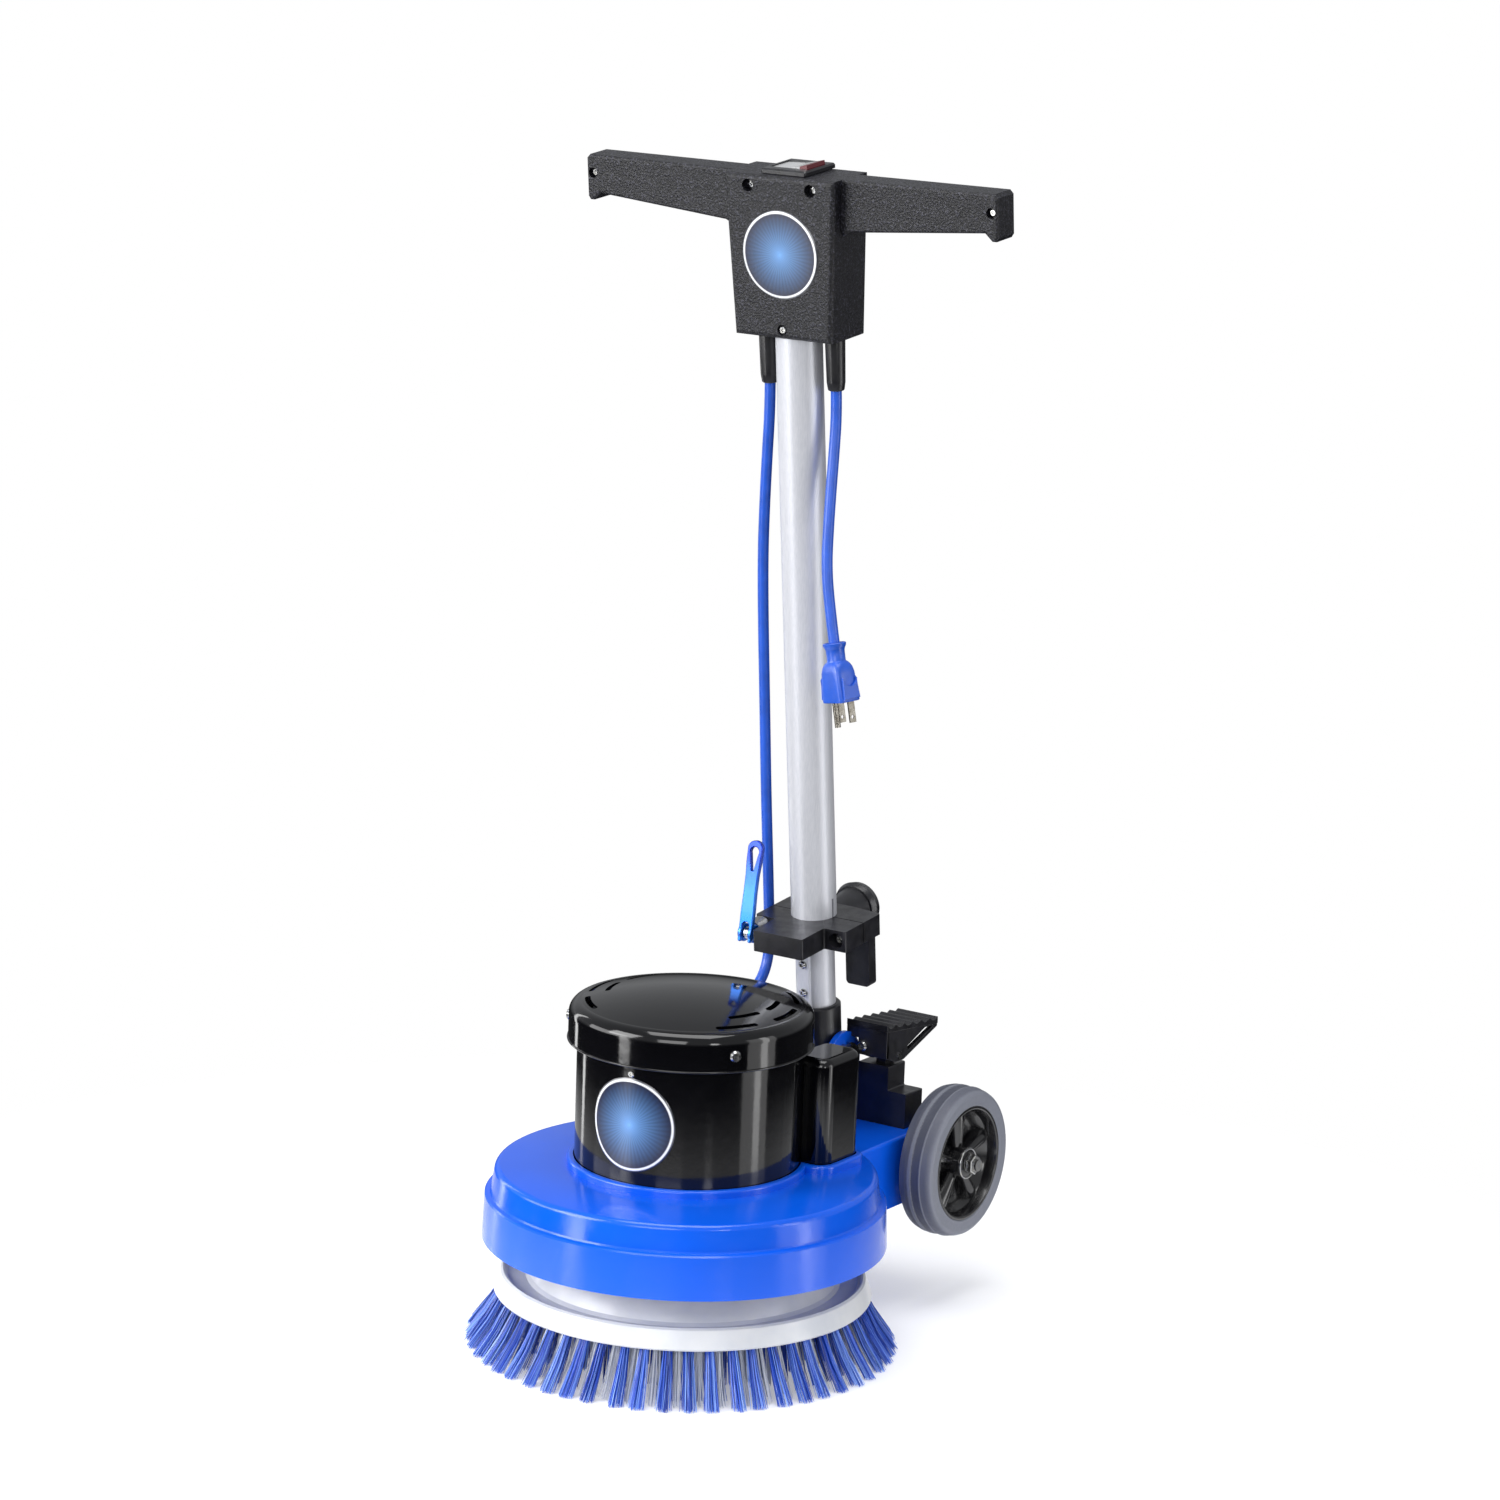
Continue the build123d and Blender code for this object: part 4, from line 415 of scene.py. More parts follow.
def blade_brass():
    """Nickel-plated brass of the plug's prongs."""
    made = Finish("blade_brass", srgb(132, 127, 118), 0.24, metallic=1.0)
    made.tint(made.noise(260, 3), srgb(118, 113, 104), srgb(146, 142, 134))
    made.polish(made.noise(500, 3), 0.2, 0.32)
    return made.relief(made.noise(1800, 2, stretch=(1, 1, 0.1)), 0.004 * MM)


def rocker_grey():
    """Pale grey rocker, with a red bar across one end."""
    grey, red = srgb(170, 171, 172), srgb(98, 24, 34)
    made = Finish("rocker_grey", grey, 0.28, coat=0.4)
    made.tint(made.spread(made.along("X"), 0, 1, 9.8 * MM, 10.4 * MM), grey, red, 0.2, 0.8)
    return made.relief(made.noise(1500, 2), 0.02 * MM)


def bush_nylon():
    """Natural nylon."""
    made = Finish("bush_nylon", srgb(212, 209, 196), 0.45)
    made.tint(made.noise(120, 3), srgb(204, 200, 186), srgb(222, 219, 208))
    return made.relief(made.noise(800, 3), 0.05 * MM)


def capacitor_grey():
    """Drawn aluminium can."""
    made = Finish("capacitor_grey", srgb(166, 170, 174), 0.4, metallic=0.7)
    made.tint(made.noise(60, 3), srgb(156, 160, 166), srgb(180, 183, 186))
    return made.relief(made.noise(700, 3), 0.03 * MM)


def lamination_steel():
    """Stacked steel sheet, which shows as fine bands along the stack."""
    made = Finish("lamination_steel", srgb(124, 127, 132), 0.42, metallic=0.9)
    stack = made.noise(200, 1, stretch=(0.02, 0.02, 10))
    made.tint(stack, srgb(92, 94, 99), srgb(150, 152, 156), 0.42, 0.58)
    return made.relief(stack, 0.1 * MM)


def badge_face():
    """Printed disc: its colour comes from the print attribute, under a clear gloss."""
    made = Finish("badge_face", srgb(30, 70, 150), 0.3, coat=1.0, coat_roughness=0.05)
    made.link(made.attribute("print", "Color"), made.shader.inputs["Base Color"])
    return made.relief(made.noise(900, 2), 0.02 * MM)


FINISHES = {
    finish.__name__: finish
    for finish in (
        housing_blue, motor_black, part_black, head_black, tube_aluminium, lever_blue, cord_blue,
        brush_white, bristle_blue, bristle_pale, tyre_grey, hub_black, zinc_steel, machined_steel,
        cast_metal, blade_brass, rocker_grey, bush_nylon, capacitor_grey, lamination_steel, badge_face,
    )
}


def make_materials():
    """One material for each of the record's slots, given to the CAD nodes that use it."""
    made = {name: finish().material for name, finish in FINISHES.items()}
    for part in frame["record"]["subparts"]:
        mesh = nodes[part["node"]].data
        mesh.materials.clear()
        mesh.materials.append(made[part["material_slot"]])
    return made


# ---------------------------------------------------------------- mesh tools
def new_piece(name, vertices, faces, slot, body, place=Matrix(), crease=40):
    """A smooth mesh with sharp edges past the crease angle, riding on its body."""
    mesh = bpy.data.meshes.new(name)
    mesh.from_pydata(vertices, [], faces)
    mesh.validate()
    mesh.shade_smooth()
    mesh.set_sharp_from_angle(angle=math.radians(crease))
    mesh.materials.append(materials[slot])
    piece = bpy.data.objects.new(name, mesh)
    scene.collection.objects.link(piece)
    piece.matrix_world = place
    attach(piece, body)
    return piece


def in_metres(outline):
    """An outline in millimetres, in metres."""
    return [(a * MM, b * MM) for a, b in outline]


def arc_points(centre, radius, start, end, steps=14):
    """Points on an arc, angles in degrees."""
    turns = [math.radians(start + (end - start) * step / steps) for step in range(steps + 1)]
    return [(centre[0] + radius * math.cos(turn), centre[1] + radius * math.sin(turn)) for turn in turns]


def rounded(corners, steps=5):
    """The outline of (x, y, radius) corners, each turned into an arc that meets its two sides."""
    outline = []
    count = len(corners)
    for index, (x, y, radius) in enumerate(corners):
        corner = Vector((x, y))
        if radius == 0:
            outline.append(tuple(corner))
            continue
        before = (Vector(corners[index - 1][:2]) - corner).normalized()
        after = (Vector(corners[(index + 1) % count][:2]) - corner).normalized()
        half = before.angle(after) / 2
        middle = corner + (before + after).normalized() * radius / math.sin(half)
        reach = radius / math.tan(half)
        first = corner + before * reach - middle
        last = corner + after * reach - middle
        sweep = first.angle_signed(last)
        for step in range(steps + 1):
            arm = first.copy()
            arm.rotate(Matrix.Rotation(-sweep * step / steps, 2))
            outline.append(tuple(middle + arm))
    return outline


def bridge(first, last, count):
    """Faces that join rings of count points each, from the ring at index first to the one at last."""
    faces = []
    for ring in range(first, last, count):
        for step in range(count):
            a, b = ring + step, ring + (step + 1) % count
            faces.append((a, b, b + count, a + count))
    return faces


def lathe(outline, segments=96):
    """Vertices and faces of a closed (r, z) outline turned round Z."""
    vertices, faces = [], []
    count = len(outline)
    for step in range(segments):
        angle = TURN * step / segments
        vertices += [(r * math.cos(angle), r * math.sin(angle), z) for r, z in outline]
    for step in range(segments):
        here, there = step * count, (step + 1) % segments * count
        for row in range(count):
            ahead = (row + 1) % count
            faces.append((here + row, there + row, there + ahead, here + ahead))
    return vertices, faces


# ---------------------------------------------------------------- cords
# Control points of the routes, in mm. The upper lead's are on the upright handle, from its pivot.
UPPER_LEAD = [
    (-31.8, 4, 575), (-32.6, 3.9, 552), (-36.8, 4, 512), (-40.8, 4.2, 470), (-44, 4.4, 428),
    (-45.5, 4.3, 376), (-46.2, 4, 300), (-47.3, 3.8, 222), (-47.6, 4, 152), (-48, 3.9, 101),
]
LOWER_LEAD = [
    (-48, 181.8, 301.8), (-48.3, 183.1, 284.6), (-48.5, 179.2, 268.3), (-48.3, 168.5, 256.4),
    (-47.8, 152.5, 250.6), (-47, 132.5, 250.6), (-46.5, 110.8, 254.4), (-46.3, 95, 258.4),
]
POWER_CORD = [
    (31.8, 128.4, 772.6), (32, 130.2, 752), (32.4, 128.2, 723), (33.2, 124.6, 692),
    (34.2, 121.2, 660), (35.2, 119.2, 628), (40.5, 118, 597), (46.1, 118, 568.5),
]


def route_curve(name, points):
    """A NURBS line led by its control points, in the cord's finish."""
    curve = bpy.data.curves.new(name, "CURVE")
    curve.dimensions = "3D"
    curve.resolution_u = 16
    spline = curve.splines.new("NURBS")
    spline.points.add(len(points) - 1)
    for control, point in zip(spline.points, points):
        control.co = (*point, 1)
    spline.order_u = 3
    spline.use_endpoint_u = True
    route = bpy.data.objects.new(name, curve)
    scene.collection.objects.link(route)
    route.data.materials.append(materials["cord_blue"])
    return route


def thicken(route):
    route.data.bevel_depth = CORD_RADIUS
    route.data.bevel_resolution = 6
    route.data.use_fill_caps = True


def mesh_lead(name, points, node):
    """A lead that crosses a joint: a tube mesh along its NURBS line."""
    guide = route_curve(name + "_route", points)
    line = bpy.data.meshes.new_from_object(guide)
    thicken(guide)
    mesh = bpy.data.meshes.new_from_object(guide)
    mesh.name = name
    bpy.data.objects.remove(guide)
    mesh.shade_smooth()
    lead = bpy.data.objects.new(name, mesh)
    scene.collection.objects.link(lead)
    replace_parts(lead, node)
    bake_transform(lead)


def make_cords():
    """The motor lead in two lengths, held at the clamp between them, and the supply cord with its plug."""
    upper = [tuple(HANDLE @ (Vector(point) * MM)) for point in UPPER_LEAD]
    lower = [tuple(Vector(point) * MM) for point in LOWER_LEAD]
    mesh_lead(
        "motor_lead_head", upper,
        "motor_lead_upper",
    )
    mesh_lead(
        "motor_lead_cap", lower, "motor_lead_lower"
    )
    power = route_curve("supply_cord", [tuple(Vector(point) * MM) for point in POWER_CORD])
    thicken(power)
    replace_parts(power, "power_cord")
    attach(power, "handle_upper")
    plug = make_plug()


# ---------------------------------------------------------------- brush
STRAND_SIDES = 3
STRAND_TAPER = 0.35

# How far a strand's shade, from 0 dark to 1 pale, rises to its tip and differs from its tuft's
TIP_PALER = 0.16
SHADE_SPREAD = 0.42

# How far tufts lean sideways, and how tips stray sideways, in and out, and upwards
TUFT_LEAN = 1.2 * MM
TIP_STRAY = 0.7 * MM
TIP_REACH = 1.2 * MM
TIP_UNEVEN = 2.2 * MM

# A tuft's depth in and out at its tip, as a share of its width there
TIP_DEPTH = 0.8

# How far strands bow inwards, how that strays, and the share of their length where it is most
BOW = 1.6 * MM
BOW_STRAY = 0.3 * MM
BOW_PLACE = 0.52

# Skirt: tufts in each ring, how far they stray as a share of their spacing, and what its tufts are:
# root (r, z), tip (r, z), strands, width at the root and at the tip, strand radius, shade
SKIRT_TUFTS = 54
SKIRT_JITTER = 0.06
SKIRT_FRONT = ((0.1455, 0.0440), (0.1718, 0.0), 78, 0.0034, 0.0062, 0.00036, 0.42)
SKIRT_PALE = ((0.1385, 0.0435), (0.1610, 0.0), 26, 0.0030, 0.0050, 0.00042, 0.45)
# The back tufts' lower shade makes the blue deep inside the skirt darker: painted shade
SKIRT_BACK = ((0.1330, 0.0435), (0.1500, 0.0), 14, 0.0030, 0.0050, 0.00050, 0.25)

# Inner rows: (radius, tufts). All splay by INNER_SPLAY; INNER_TUFT goes on from the strands as above.
INNER_ROWS = [(0.1240, 52), (0.1090, 46), (0.0940, 40), (0.0790, 34), (0.0650, 28)]
INNER_SPLAY = 0.003
INNER_TUFT = (12, 0.0028, 0.0042, 0.0006, 0.4)


class Strands:
    """Gathers thin tapering strands into one mesh, each with its own shade."""

    def __init__(self):
        self.vertices, self.faces, self.shades = [], [], []

    def add(self, line, radius, shade):
        start = len(self.vertices)
        spin = random.random() * TURN
        count = len(line)
        for index, point in enumerate(line):
            ahead = line[min(index + 1, count - 1)] - line[max(index - 1, 0)]
            across = ahead.orthogonal().normalized()
            around = ahead.normalized().cross(across)
            share = index / (count - 1)
            wide = radius * (1 - STRAND_TAPER * share)
            for side in range(STRAND_SIDES):
                angle = spin + TURN * side / STRAND_SIDES
                self.vertices.append(point + (across * math.cos(angle) + around * math.sin(angle)) * wide)
                self.shades.append(shade + TIP_PALER * share)
        tip = start + (count - 1) * STRAND_SIDES
        self.faces += bridge(start, tip, STRAND_SIDES)
        self.faces.append(tuple(range(tip, tip + STRAND_SIDES)))

    def finish(self, name, slot):
        piece = new_piece(name, self.vertices, self.faces, slot, "brush", crease=75)
        shades = piece.data.attributes.new("strand", "FLOAT", "POINT")
        shades.data.foreach_set("value", [min(1.0, max(0.0, shade)) for shade in self.shades])
        return piece


def disc_spot():
    """A random place in a disc of radius 1."""
    reach = math.sqrt(random.random())
    angle = random.random() * TURN
    return reach * math.cos(angle), reach * math.sin(angle)


def tuft(strands, angle, root, tip, count, root_width, tip_width, thickness, shade):
    """A bundle of strands from root (r, z) to tip (r, z) at that angle, wider at its tip."""
    out = Vector((math.cos(angle), math.sin(angle), 0))
    side = Vector((-math.sin(angle), math.cos(angle), 0))
    lean = random.uniform(-TUFT_LEAN, TUFT_LEAN)
    for _ in range(count):
        across, depth = disc_spot()
        stray = random.gauss(0, TIP_STRAY)
        start = out * (root[0] + depth * root_width) + side * across * root_width
        start.z = root[1]
        reach = tip[0] + depth * tip_width * TIP_DEPTH + random.uniform(-TIP_REACH, TIP_REACH)
        end = out * reach + side * (across * tip_width + lean + stray)
        end.z = tip[1] + random.random() ** 2 * TIP_UNEVEN
        middle = start.lerp(end, BOW_PLACE) - out * BOW + side * random.gauss(0, BOW_STRAY)
        strands.add([start, middle, end], thickness, shade + random.uniform(-SHADE_SPREAD, SHADE_SPREAD))


def make_bristles():
    """Outer skirt of blue tufts with pale and blue ones behind their gaps, the blue ones there darker as painted
    shade, and five inner rows.
    """
    blue, pale = Strands(), Strands()
    for index in range(SKIRT_TUFTS):
        angle = TURN * (index + random.uniform(-SKIRT_JITTER, SKIRT_JITTER)) / SKIRT_TUFTS
        tuft(blue, angle, *SKIRT_FRONT)
        gap = TURN * (index + 0.5) / SKIRT_TUFTS
        tuft(pale, gap, *SKIRT_PALE)
        tuft(blue, gap, *SKIRT_BACK)
    for row, (radius, count) in enumerate(INNER_ROWS):
        root, tip = (radius, BRUSH_FOOT), (radius + INNER_SPLAY, 0.0)
        for index in range(count):
            angle = TURN * (index + 0.5 * (row % 2)) / count
            kind = pale if (index + row) % 2 else blue
            tuft(kind, angle, root, tip, *INNER_TUFT)
    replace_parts(blue.finish("tufts_blue", "bristle_blue"), "outer_bristles")
    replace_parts(pale.finish("tufts_pale", "bristle_pale"), "inner_bristles")


# ---------------------------------------------------------------- wheels
# Outlines of the upright right wheel, in mm: (distance from the axle, distance outwards from the
# tyre's inner face, corner radius)
TYRE_OUTLINE = [
    (48.6, 1.2, 0.3), (50.5, 0.4, 0.6), (57.0, 0.3, 1.5), (61.2, 1.8, 2.5), (63.2, 8.0, 5.0),
    (63.0, 11.2, 0.2), (63.5, 11.6, 0.2), (63.5, 14.0, 0.2), (62.7, 14.5, 0.2), (62.7, 21.5, 0.2),
    (63.4, 21.9, 0.2), (63.4, 22.8, 0.2), (62.9, 23.3, 0.2), (62.2, 28.0, 4.0), (60.6, 31.8, 2.2),
    (57.6, 32.9, 1.2), (51.0, 32.3, 1.0), (49.6, 32.5, 0.3), (48.6, 31.8, 0.3),
]
HUB_OUTLINE = [
    (5.6, -1.5, 0.4), (12, -1.5, 0.8), (13, 6, 2), (40.5, 8.5, 3), (44, 1.5, 1), (48.5, 1.0, 0.2),
    (48.5, 32.2, 0.8), (45.8, 32.2, 1.2), (43.6, 23, 4), (36, 14.2, 8), (15.5, 12.2, 2.5),
    (13.0, 17, 3), (12.4, 30, 0.8), (5.6, 30, 0.3),
]
AXLE_END_PARTS = [
    # name, slot, outline
    ("washer", "zinc_steel", [(11.6, 30.4, 0.2), (13.5, 30.4, 0.3), (13.5, 32.1, 0.5), (11.6, 32.1, 0.4)]),
    # The black disc inside the washer's ring is the washer's face in painted dark reflection
    ("painted_washer_reflection", "hub_black", [(5.1, 30.4, 0.2), (11.8, 30.4, 0.1), (11.8, 31.5, 0.1), (5.1, 31.5, 0.2)]),
    ("spacer", "zinc_steel", [(5.1, -7.0, 0.3), (9.0, -7.0, 0.5), (9.0, -1.8, 0.5), (5.1, -1.8, 0.3)]),
]
AXLE_NUT = [(5.1, 31.6), (8.2, 31.6), (8.66, 32.2), (8.66, 38.6), (7.6, 39.2), (5.1, 39.2)]

# Spokes in mm: their middle line lies at SPOKE_ROOT outwards and their belly SPOKE_DEPTH inside it
SPOKES = 5
SPOKE_SIDES = 28
SPOKE_ROOT = 12.6
SPOKE_DEPTH = 3.5
SPOKE_SECTIONS = [
    # distance from the axle, half width, crest height
    (10.0, 4.6, 24.5), (14.0, 5.0, 24.6), (20.0, 5.8, 24.8), (27.0, 6.9, 25.2), (34.0, 8.2, 25.6),
    (40.0, 9.4, 25.6), (43.6, 9.8, 24.6), (45.6, 9.6, 22.0),
]


def wheel_place(side):
    """From an upright wheel with the tyre's inner face at z 0 to its place on the axle."""
    hub = Matrix.Translation((side * TYRE_INNER, AXLE.y, AXLE.z))
    return hub @ Matrix.Rotation(side * math.pi / 2, 4, "Y")


def make_tyres():
    """Moulded rubber with a raised band, a sunk tread and a thin rib, and a stepped side wall."""
    vertices, faces = lathe(in_metres(rounded(TYRE_OUTLINE, steps=4)), segments=160)
    for side, name in WHEELS:
        tyre = new_piece(
            "rubber_" + name, vertices, faces, "tyre_grey", "wheel_" + name, wheel_place(side), crease=50
        )
        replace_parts(tyre, "tyre_" + name)


def spoke_vertices(out):
    """A spoke along out: sections with a high crest outwards and a shallow belly inwards."""
    across = Vector((-out.y, out.x, 0))
    vertices = []
    for reach, half, crest in SPOKE_SECTIONS:
        for step in range(SPOKE_SIDES):
            bend = TURN * step / SPOKE_SIDES
            swell = crest - SPOKE_ROOT if math.sin(bend) > 0 else SPOKE_DEPTH
            spot = (out * reach + across * half * math.cos(bend)) * MM
            vertices.append((spot.x, spot.y, (SPOKE_ROOT + swell * math.sin(bend)) * MM))
    return vertices


def make_hubs():
    """Glossy dished hubs, each with five spokes that swell towards the rim."""
    for side, name in WHEELS:
        vertices, faces = lathe(in_metres(rounded(HUB_OUTLINE)), segments=120)
        for spoke in range(SPOKES):
            angle = math.radians(90 + 360 / SPOKES * spoke)
            first = len(vertices)
            vertices += spoke_vertices(Vector((-side * math.sin(angle), math.cos(angle), 0)))
            last = len(vertices) - SPOKE_SIDES
            faces += bridge(first, last, SPOKE_SIDES)
            faces.append(tuple(range(first, first + SPOKE_SIDES)))
            faces.append(tuple(range(last, last + SPOKE_SIDES)))
        hub = new_piece(
            "dished_hub_" + name, vertices, faces, "hub_black", "wheel_" + name, wheel_place(side),
            crease=50,
        )
        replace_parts(hub, "hub_" + name)


def make_axle_ends():
    """On each wheel a bright washer ring round a black disc that stands for the washer face's dark reflection as
    painted reflection, a nut, and a spacer behind the hub.
    """
    made = {}
    for side, name in WHEELS:
        place = wheel_place(side)
        for part, slot, outline in AXLE_END_PARTS:
            turned = lathe(in_metres(rounded(outline, steps=3)))
            made[part] = new_piece(part + "_" + name, *turned, slot, "deck", place)
        nut = lathe(in_metres(AXLE_NUT), segments=6)
        new_piece("axle_nut_" + name, *nut, "zinc_steel", "deck", place, crease=20)
    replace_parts(made["washer"], "wheel_fasteners")


# ---------------------------------------------------------------- flat plates
SIDEWAYS = Matrix(((0, 0, 1), (1, 0, 0), (0, 1, 0))).to_4x4()


def plate(name, outlines, half_depth, edge, slot, body, place, bend=None):
    """Flat plate with rounded edges, cut from closed outlines of (x, y): the first is its rim.

    Where bend is given, the plate sinks by bend(y).
    """
    curve = bpy.data.curves.new(name, "CURVE")
    curve.dimensions = "2D"
    curve.fill_mode = "BOTH"
    curve.extrude = half_depth - edge
    curve.bevel_depth = edge
    curve.bevel_resolution = 3
    curve.offset = -edge
    for outline in outlines:
        spline = curve.splines.new("POLY")
        spline.points.add(len(outline) - 1)
        for control, point in zip(spline.points, outline):
            control.co = (*point, 0, 1)
        spline.use_cyclic_u = True
    guide = bpy.data.objects.new(name, curve)
    mesh = bpy.data.meshes.new_from_object(guide)
    bpy.data.objects.remove(guide)
    vertices = [tuple(vertex.co) for vertex in mesh.vertices]
    if bend:
        vertices = [(x, y, z - bend(y)) for x, y, z in vertices]
    faces = [tuple(face.vertices) for face in mesh.polygons]
    return new_piece(name, vertices, faces, slot, body, place, crease=35)


# ---------------------------------------------------------------- cam lever
# The lever along Y from its pin, in mm; the pin on the upright handle; the lever's stand in degrees
LEVER_PIN = (-34.5, -46, 116)
LEVER_STAND = 75.4
LEVER_SIDE = [(6.5, -4), (6.5, 18), (6.0, 34), (6.1, 48), (7.0, 60)]
LEVER_HEAD, HEAD_RADIUS = 70, 7.5
FORK_GAP, FORK_END, FORK_ROOT = 3.3, -4, 6
FORK_TIP, TIP_RADIUS = (4.9, -6), 1.6
EYE_CENTRE, EYE_RADIUS = 68, 4.1
EYE_POINT = [(-0.9, 52), (0.9, 52)]
BLADE_HALF_DEPTH, BLADE_EDGE, BLADE_LIFT = 2.2, 0.9, 4.5
BLADE_DROOP, DROOP_FROM, DROOP_RUN = 1.3, 25, 50

# Cams and pin, turned round the pin's line: corners of (r, distance along it, corner radius), in mm
CAM_CHEEK = [(2.4, 0, 0), (7.7, 0, 0.6), (7.7, 3.3, 0.6), (2.4, 3.3, 0)]
CAM_PIN = [(0.1, -3.3, 0), (3.0, -3.3, 0), (3.0, 3.3, 0), (0.1, 3.3, 0)]
CAM_PARTS = [
    # name, outline, start along the pin, slot
    ("lever_cam_outer", CAM_CHEEK, -6.5, "lever_blue"),
    ("lever_cam_inner", CAM_CHEEK, 3.2, "lever_blue"),
    ("lever_cam_pin", CAM_PIN, 0, "zinc_steel"),
]


def lever_rim():
    """Outline of the blade: out round the fork, up the left side, over the head and down the right."""
    tip_x, tip_y = FORK_TIP
    rim = [(FORK_GAP, FORK_END), *arc_points((0, FORK_ROOT), FORK_GAP, 0, 180), (-FORK_GAP, FORK_END)]
    rim += arc_points((-tip_x, tip_y), TIP_RADIUS, 0, -180, steps=8)
    rim += [(-x, y) for x, y in LEVER_SIDE]
    rim += arc_points((0, LEVER_HEAD), HEAD_RADIUS, 165, 15, steps=20)
    rim += reversed(LEVER_SIDE)
    return rim + arc_points((tip_x, tip_y), TIP_RADIUS, 0, -180, steps=8)


def make_lever():
    """Anodised cam lever: a waisted blade with a teardrop eye, forked round its cam discs."""
    pin = HANDLE @ Matrix.Translation(Vector(LEVER_PIN) * MM)
    stand = Matrix.Rotation(math.radians(LEVER_STAND), 4, "X")
    eye = arc_points((0, EYE_CENTRE), EYE_RADIUS, -25, 205, steps=18) + EYE_POINT
    blade = plate(
        "lever_blade", [in_metres(lever_rim()), in_metres(eye)], BLADE_HALF_DEPTH * MM, BLADE_EDGE * MM,
        "lever_blue", "lever", pin @ stand @ Matrix.Translation((0, 0, BLADE_LIFT * MM)),
        bend=lambda y: BLADE_DROOP * MM * max(0.0, (y / MM - DROOP_FROM) / DROOP_RUN) ** 2,
    )
    for name, outline, start, slot in CAM_PARTS:
        turned = lathe(in_metres(rounded(outline, steps=3)), segments=64)
        spot = pin @ Matrix.Translation((start * MM, 0, 0)) @ Matrix.Rotation(math.pi / 2, 4, "Y")
        new_piece(name, *turned, slot, "lever", spot)
    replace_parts(blade, "cam_lever")


# ---------------------------------------------------------------- foot pedal
# Side view in mm on the frame: (y, z) along the tread, and (y, z, corner radius) of the plates
TREAD_FRONT, TREAD_BACK = (198, 233.2), (278, 225.2)
TREAD_RIBS, RIB_HEIGHT = 6, 2.4
TREAD_STEPS = 160
TREAD_UNDERSIDE = [(278, 220.6), (201, 228.2), (198, 229.2)]
PEDAL_WEB = [
    (198.5, 229.5, 0), (277.4, 221.6, 0), (277.2, 218.4, 1.2), (225.5, 200.0, 4), (213, 200.0, 5),
    (198.5, 206, 2),
]
WEB_SLOT = [(231, 206.2, 0.6), (273, 220.6, 0.6), (258, 221.0, 0.8), (231, 210.6, 0.8)]
PEDAL_FACE = [(198, 229, 0), (202, 229, 0), (202, 205.5, 0.8), (198, 205.5, 0.8)]
PEDAL_LIP = [(198, 229, 0), (202, 229, 0), (202, 219.5, 0.8), (198, 219.5, 0.8)]
PEDAL_EDGE = 0.45


def tread_outline():
    """The tread from the side: ribs as a sharpened cosine wave along its top, flat underneath."""
    (front, high), (back, low) = TREAD_FRONT, TREAD_BACK
    crests = []
    for step in range(TREAD_STEPS + 1):
        share = step / TREAD_STEPS
        ripple = 0.5 + 0.5 * math.cos(TURN * share * TREAD_RIBS)
        rise = RIB_HEIGHT * (ripple ** 1.6 - 0.5)
        crests.append((front + (back - front) * share, high + (low - high) * share + rise))
    return crests + TREAD_UNDERSIDE


def make_pedal():
    """Wavy tread on two slotted webs, with a plate and a lip across the front."""
    pieces = []
    for name, outlines, start, end in (
        # name, outlines, start and end across the machine in mm
        ("pedal_tread", [tread_outline()], 22.2, 62.5),
        ("pedal_web_outer", [rounded(PEDAL_WEB), rounded(WEB_SLOT)], 58.0, 62.4),
        ("pedal_web_inner", [rounded(PEDAL_WEB), rounded(WEB_SLOT)], 36.0, 40.4),
        ("pedal_face", [rounded(PEDAL_FACE)], 34.0, 62.4),
        ("pedal_lip", [rounded(PEDAL_LIP)], 22.4, 34.6),
    ):
        pieces.append(plate(
            name, [in_metres(outline) for outline in outlines], (end - start) / 2 * MM, PEDAL_EDGE * MM,
            "part_black", "pedal", Matrix.Translation(((start + end) / 2 * MM, 0, 0)) @ SIDEWAYS,
        ))
    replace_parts(pieces[0], "foot_pedal")


# ---------------------------------------------------------------- rolled edge of the cap
BEAD_RADIUS = 0.9 * MM
BEAD_RISE = 1 * MM


def make_cap_lip():
    """The bead that the cap's sheet is rolled into, round its lower edge."""
    low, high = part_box("motor_cap")
    bead = arc_points((high.x, low.z + BEAD_RISE), BEAD_RADIUS, 0, 345, steps=23)
    new_piece("cap_lip", *lathe(bead, segments=240), "motor_black", "deck", crease=60)


# ---------------------------------------------------------------- strain reliefs
# Corners of (r, height up the handle from its pivot, corner radius), in mm
BOOT_OUTLINE = [
    (4.6, 573.2, 0.4), (6.6, 573.2, 1.2), (7.6, 580, 4), (8.3, 617.5, 0.2), (4.6, 617.5, 0.2),
]


def make_reliefs():
    """Tapered boots round the leads where they leave the head, with a soft bead at each foot."""
    turned = lathe(in_metres(rounded(BOOT_OUTLINE)), segments=64)
    across, back, _ = UPPER_LEAD[0]
    boots = []
    for side, name in ((1, "far"), (-1, "near")):
        place = HANDLE @ Matrix.Translation(Vector((side * across, back, 0)) * MM)
        boots.append(new_piece("lead_boot_" + name, *turned, "part_black", "handle_upper", place))
    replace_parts(boots[0], "strain_reliefs")


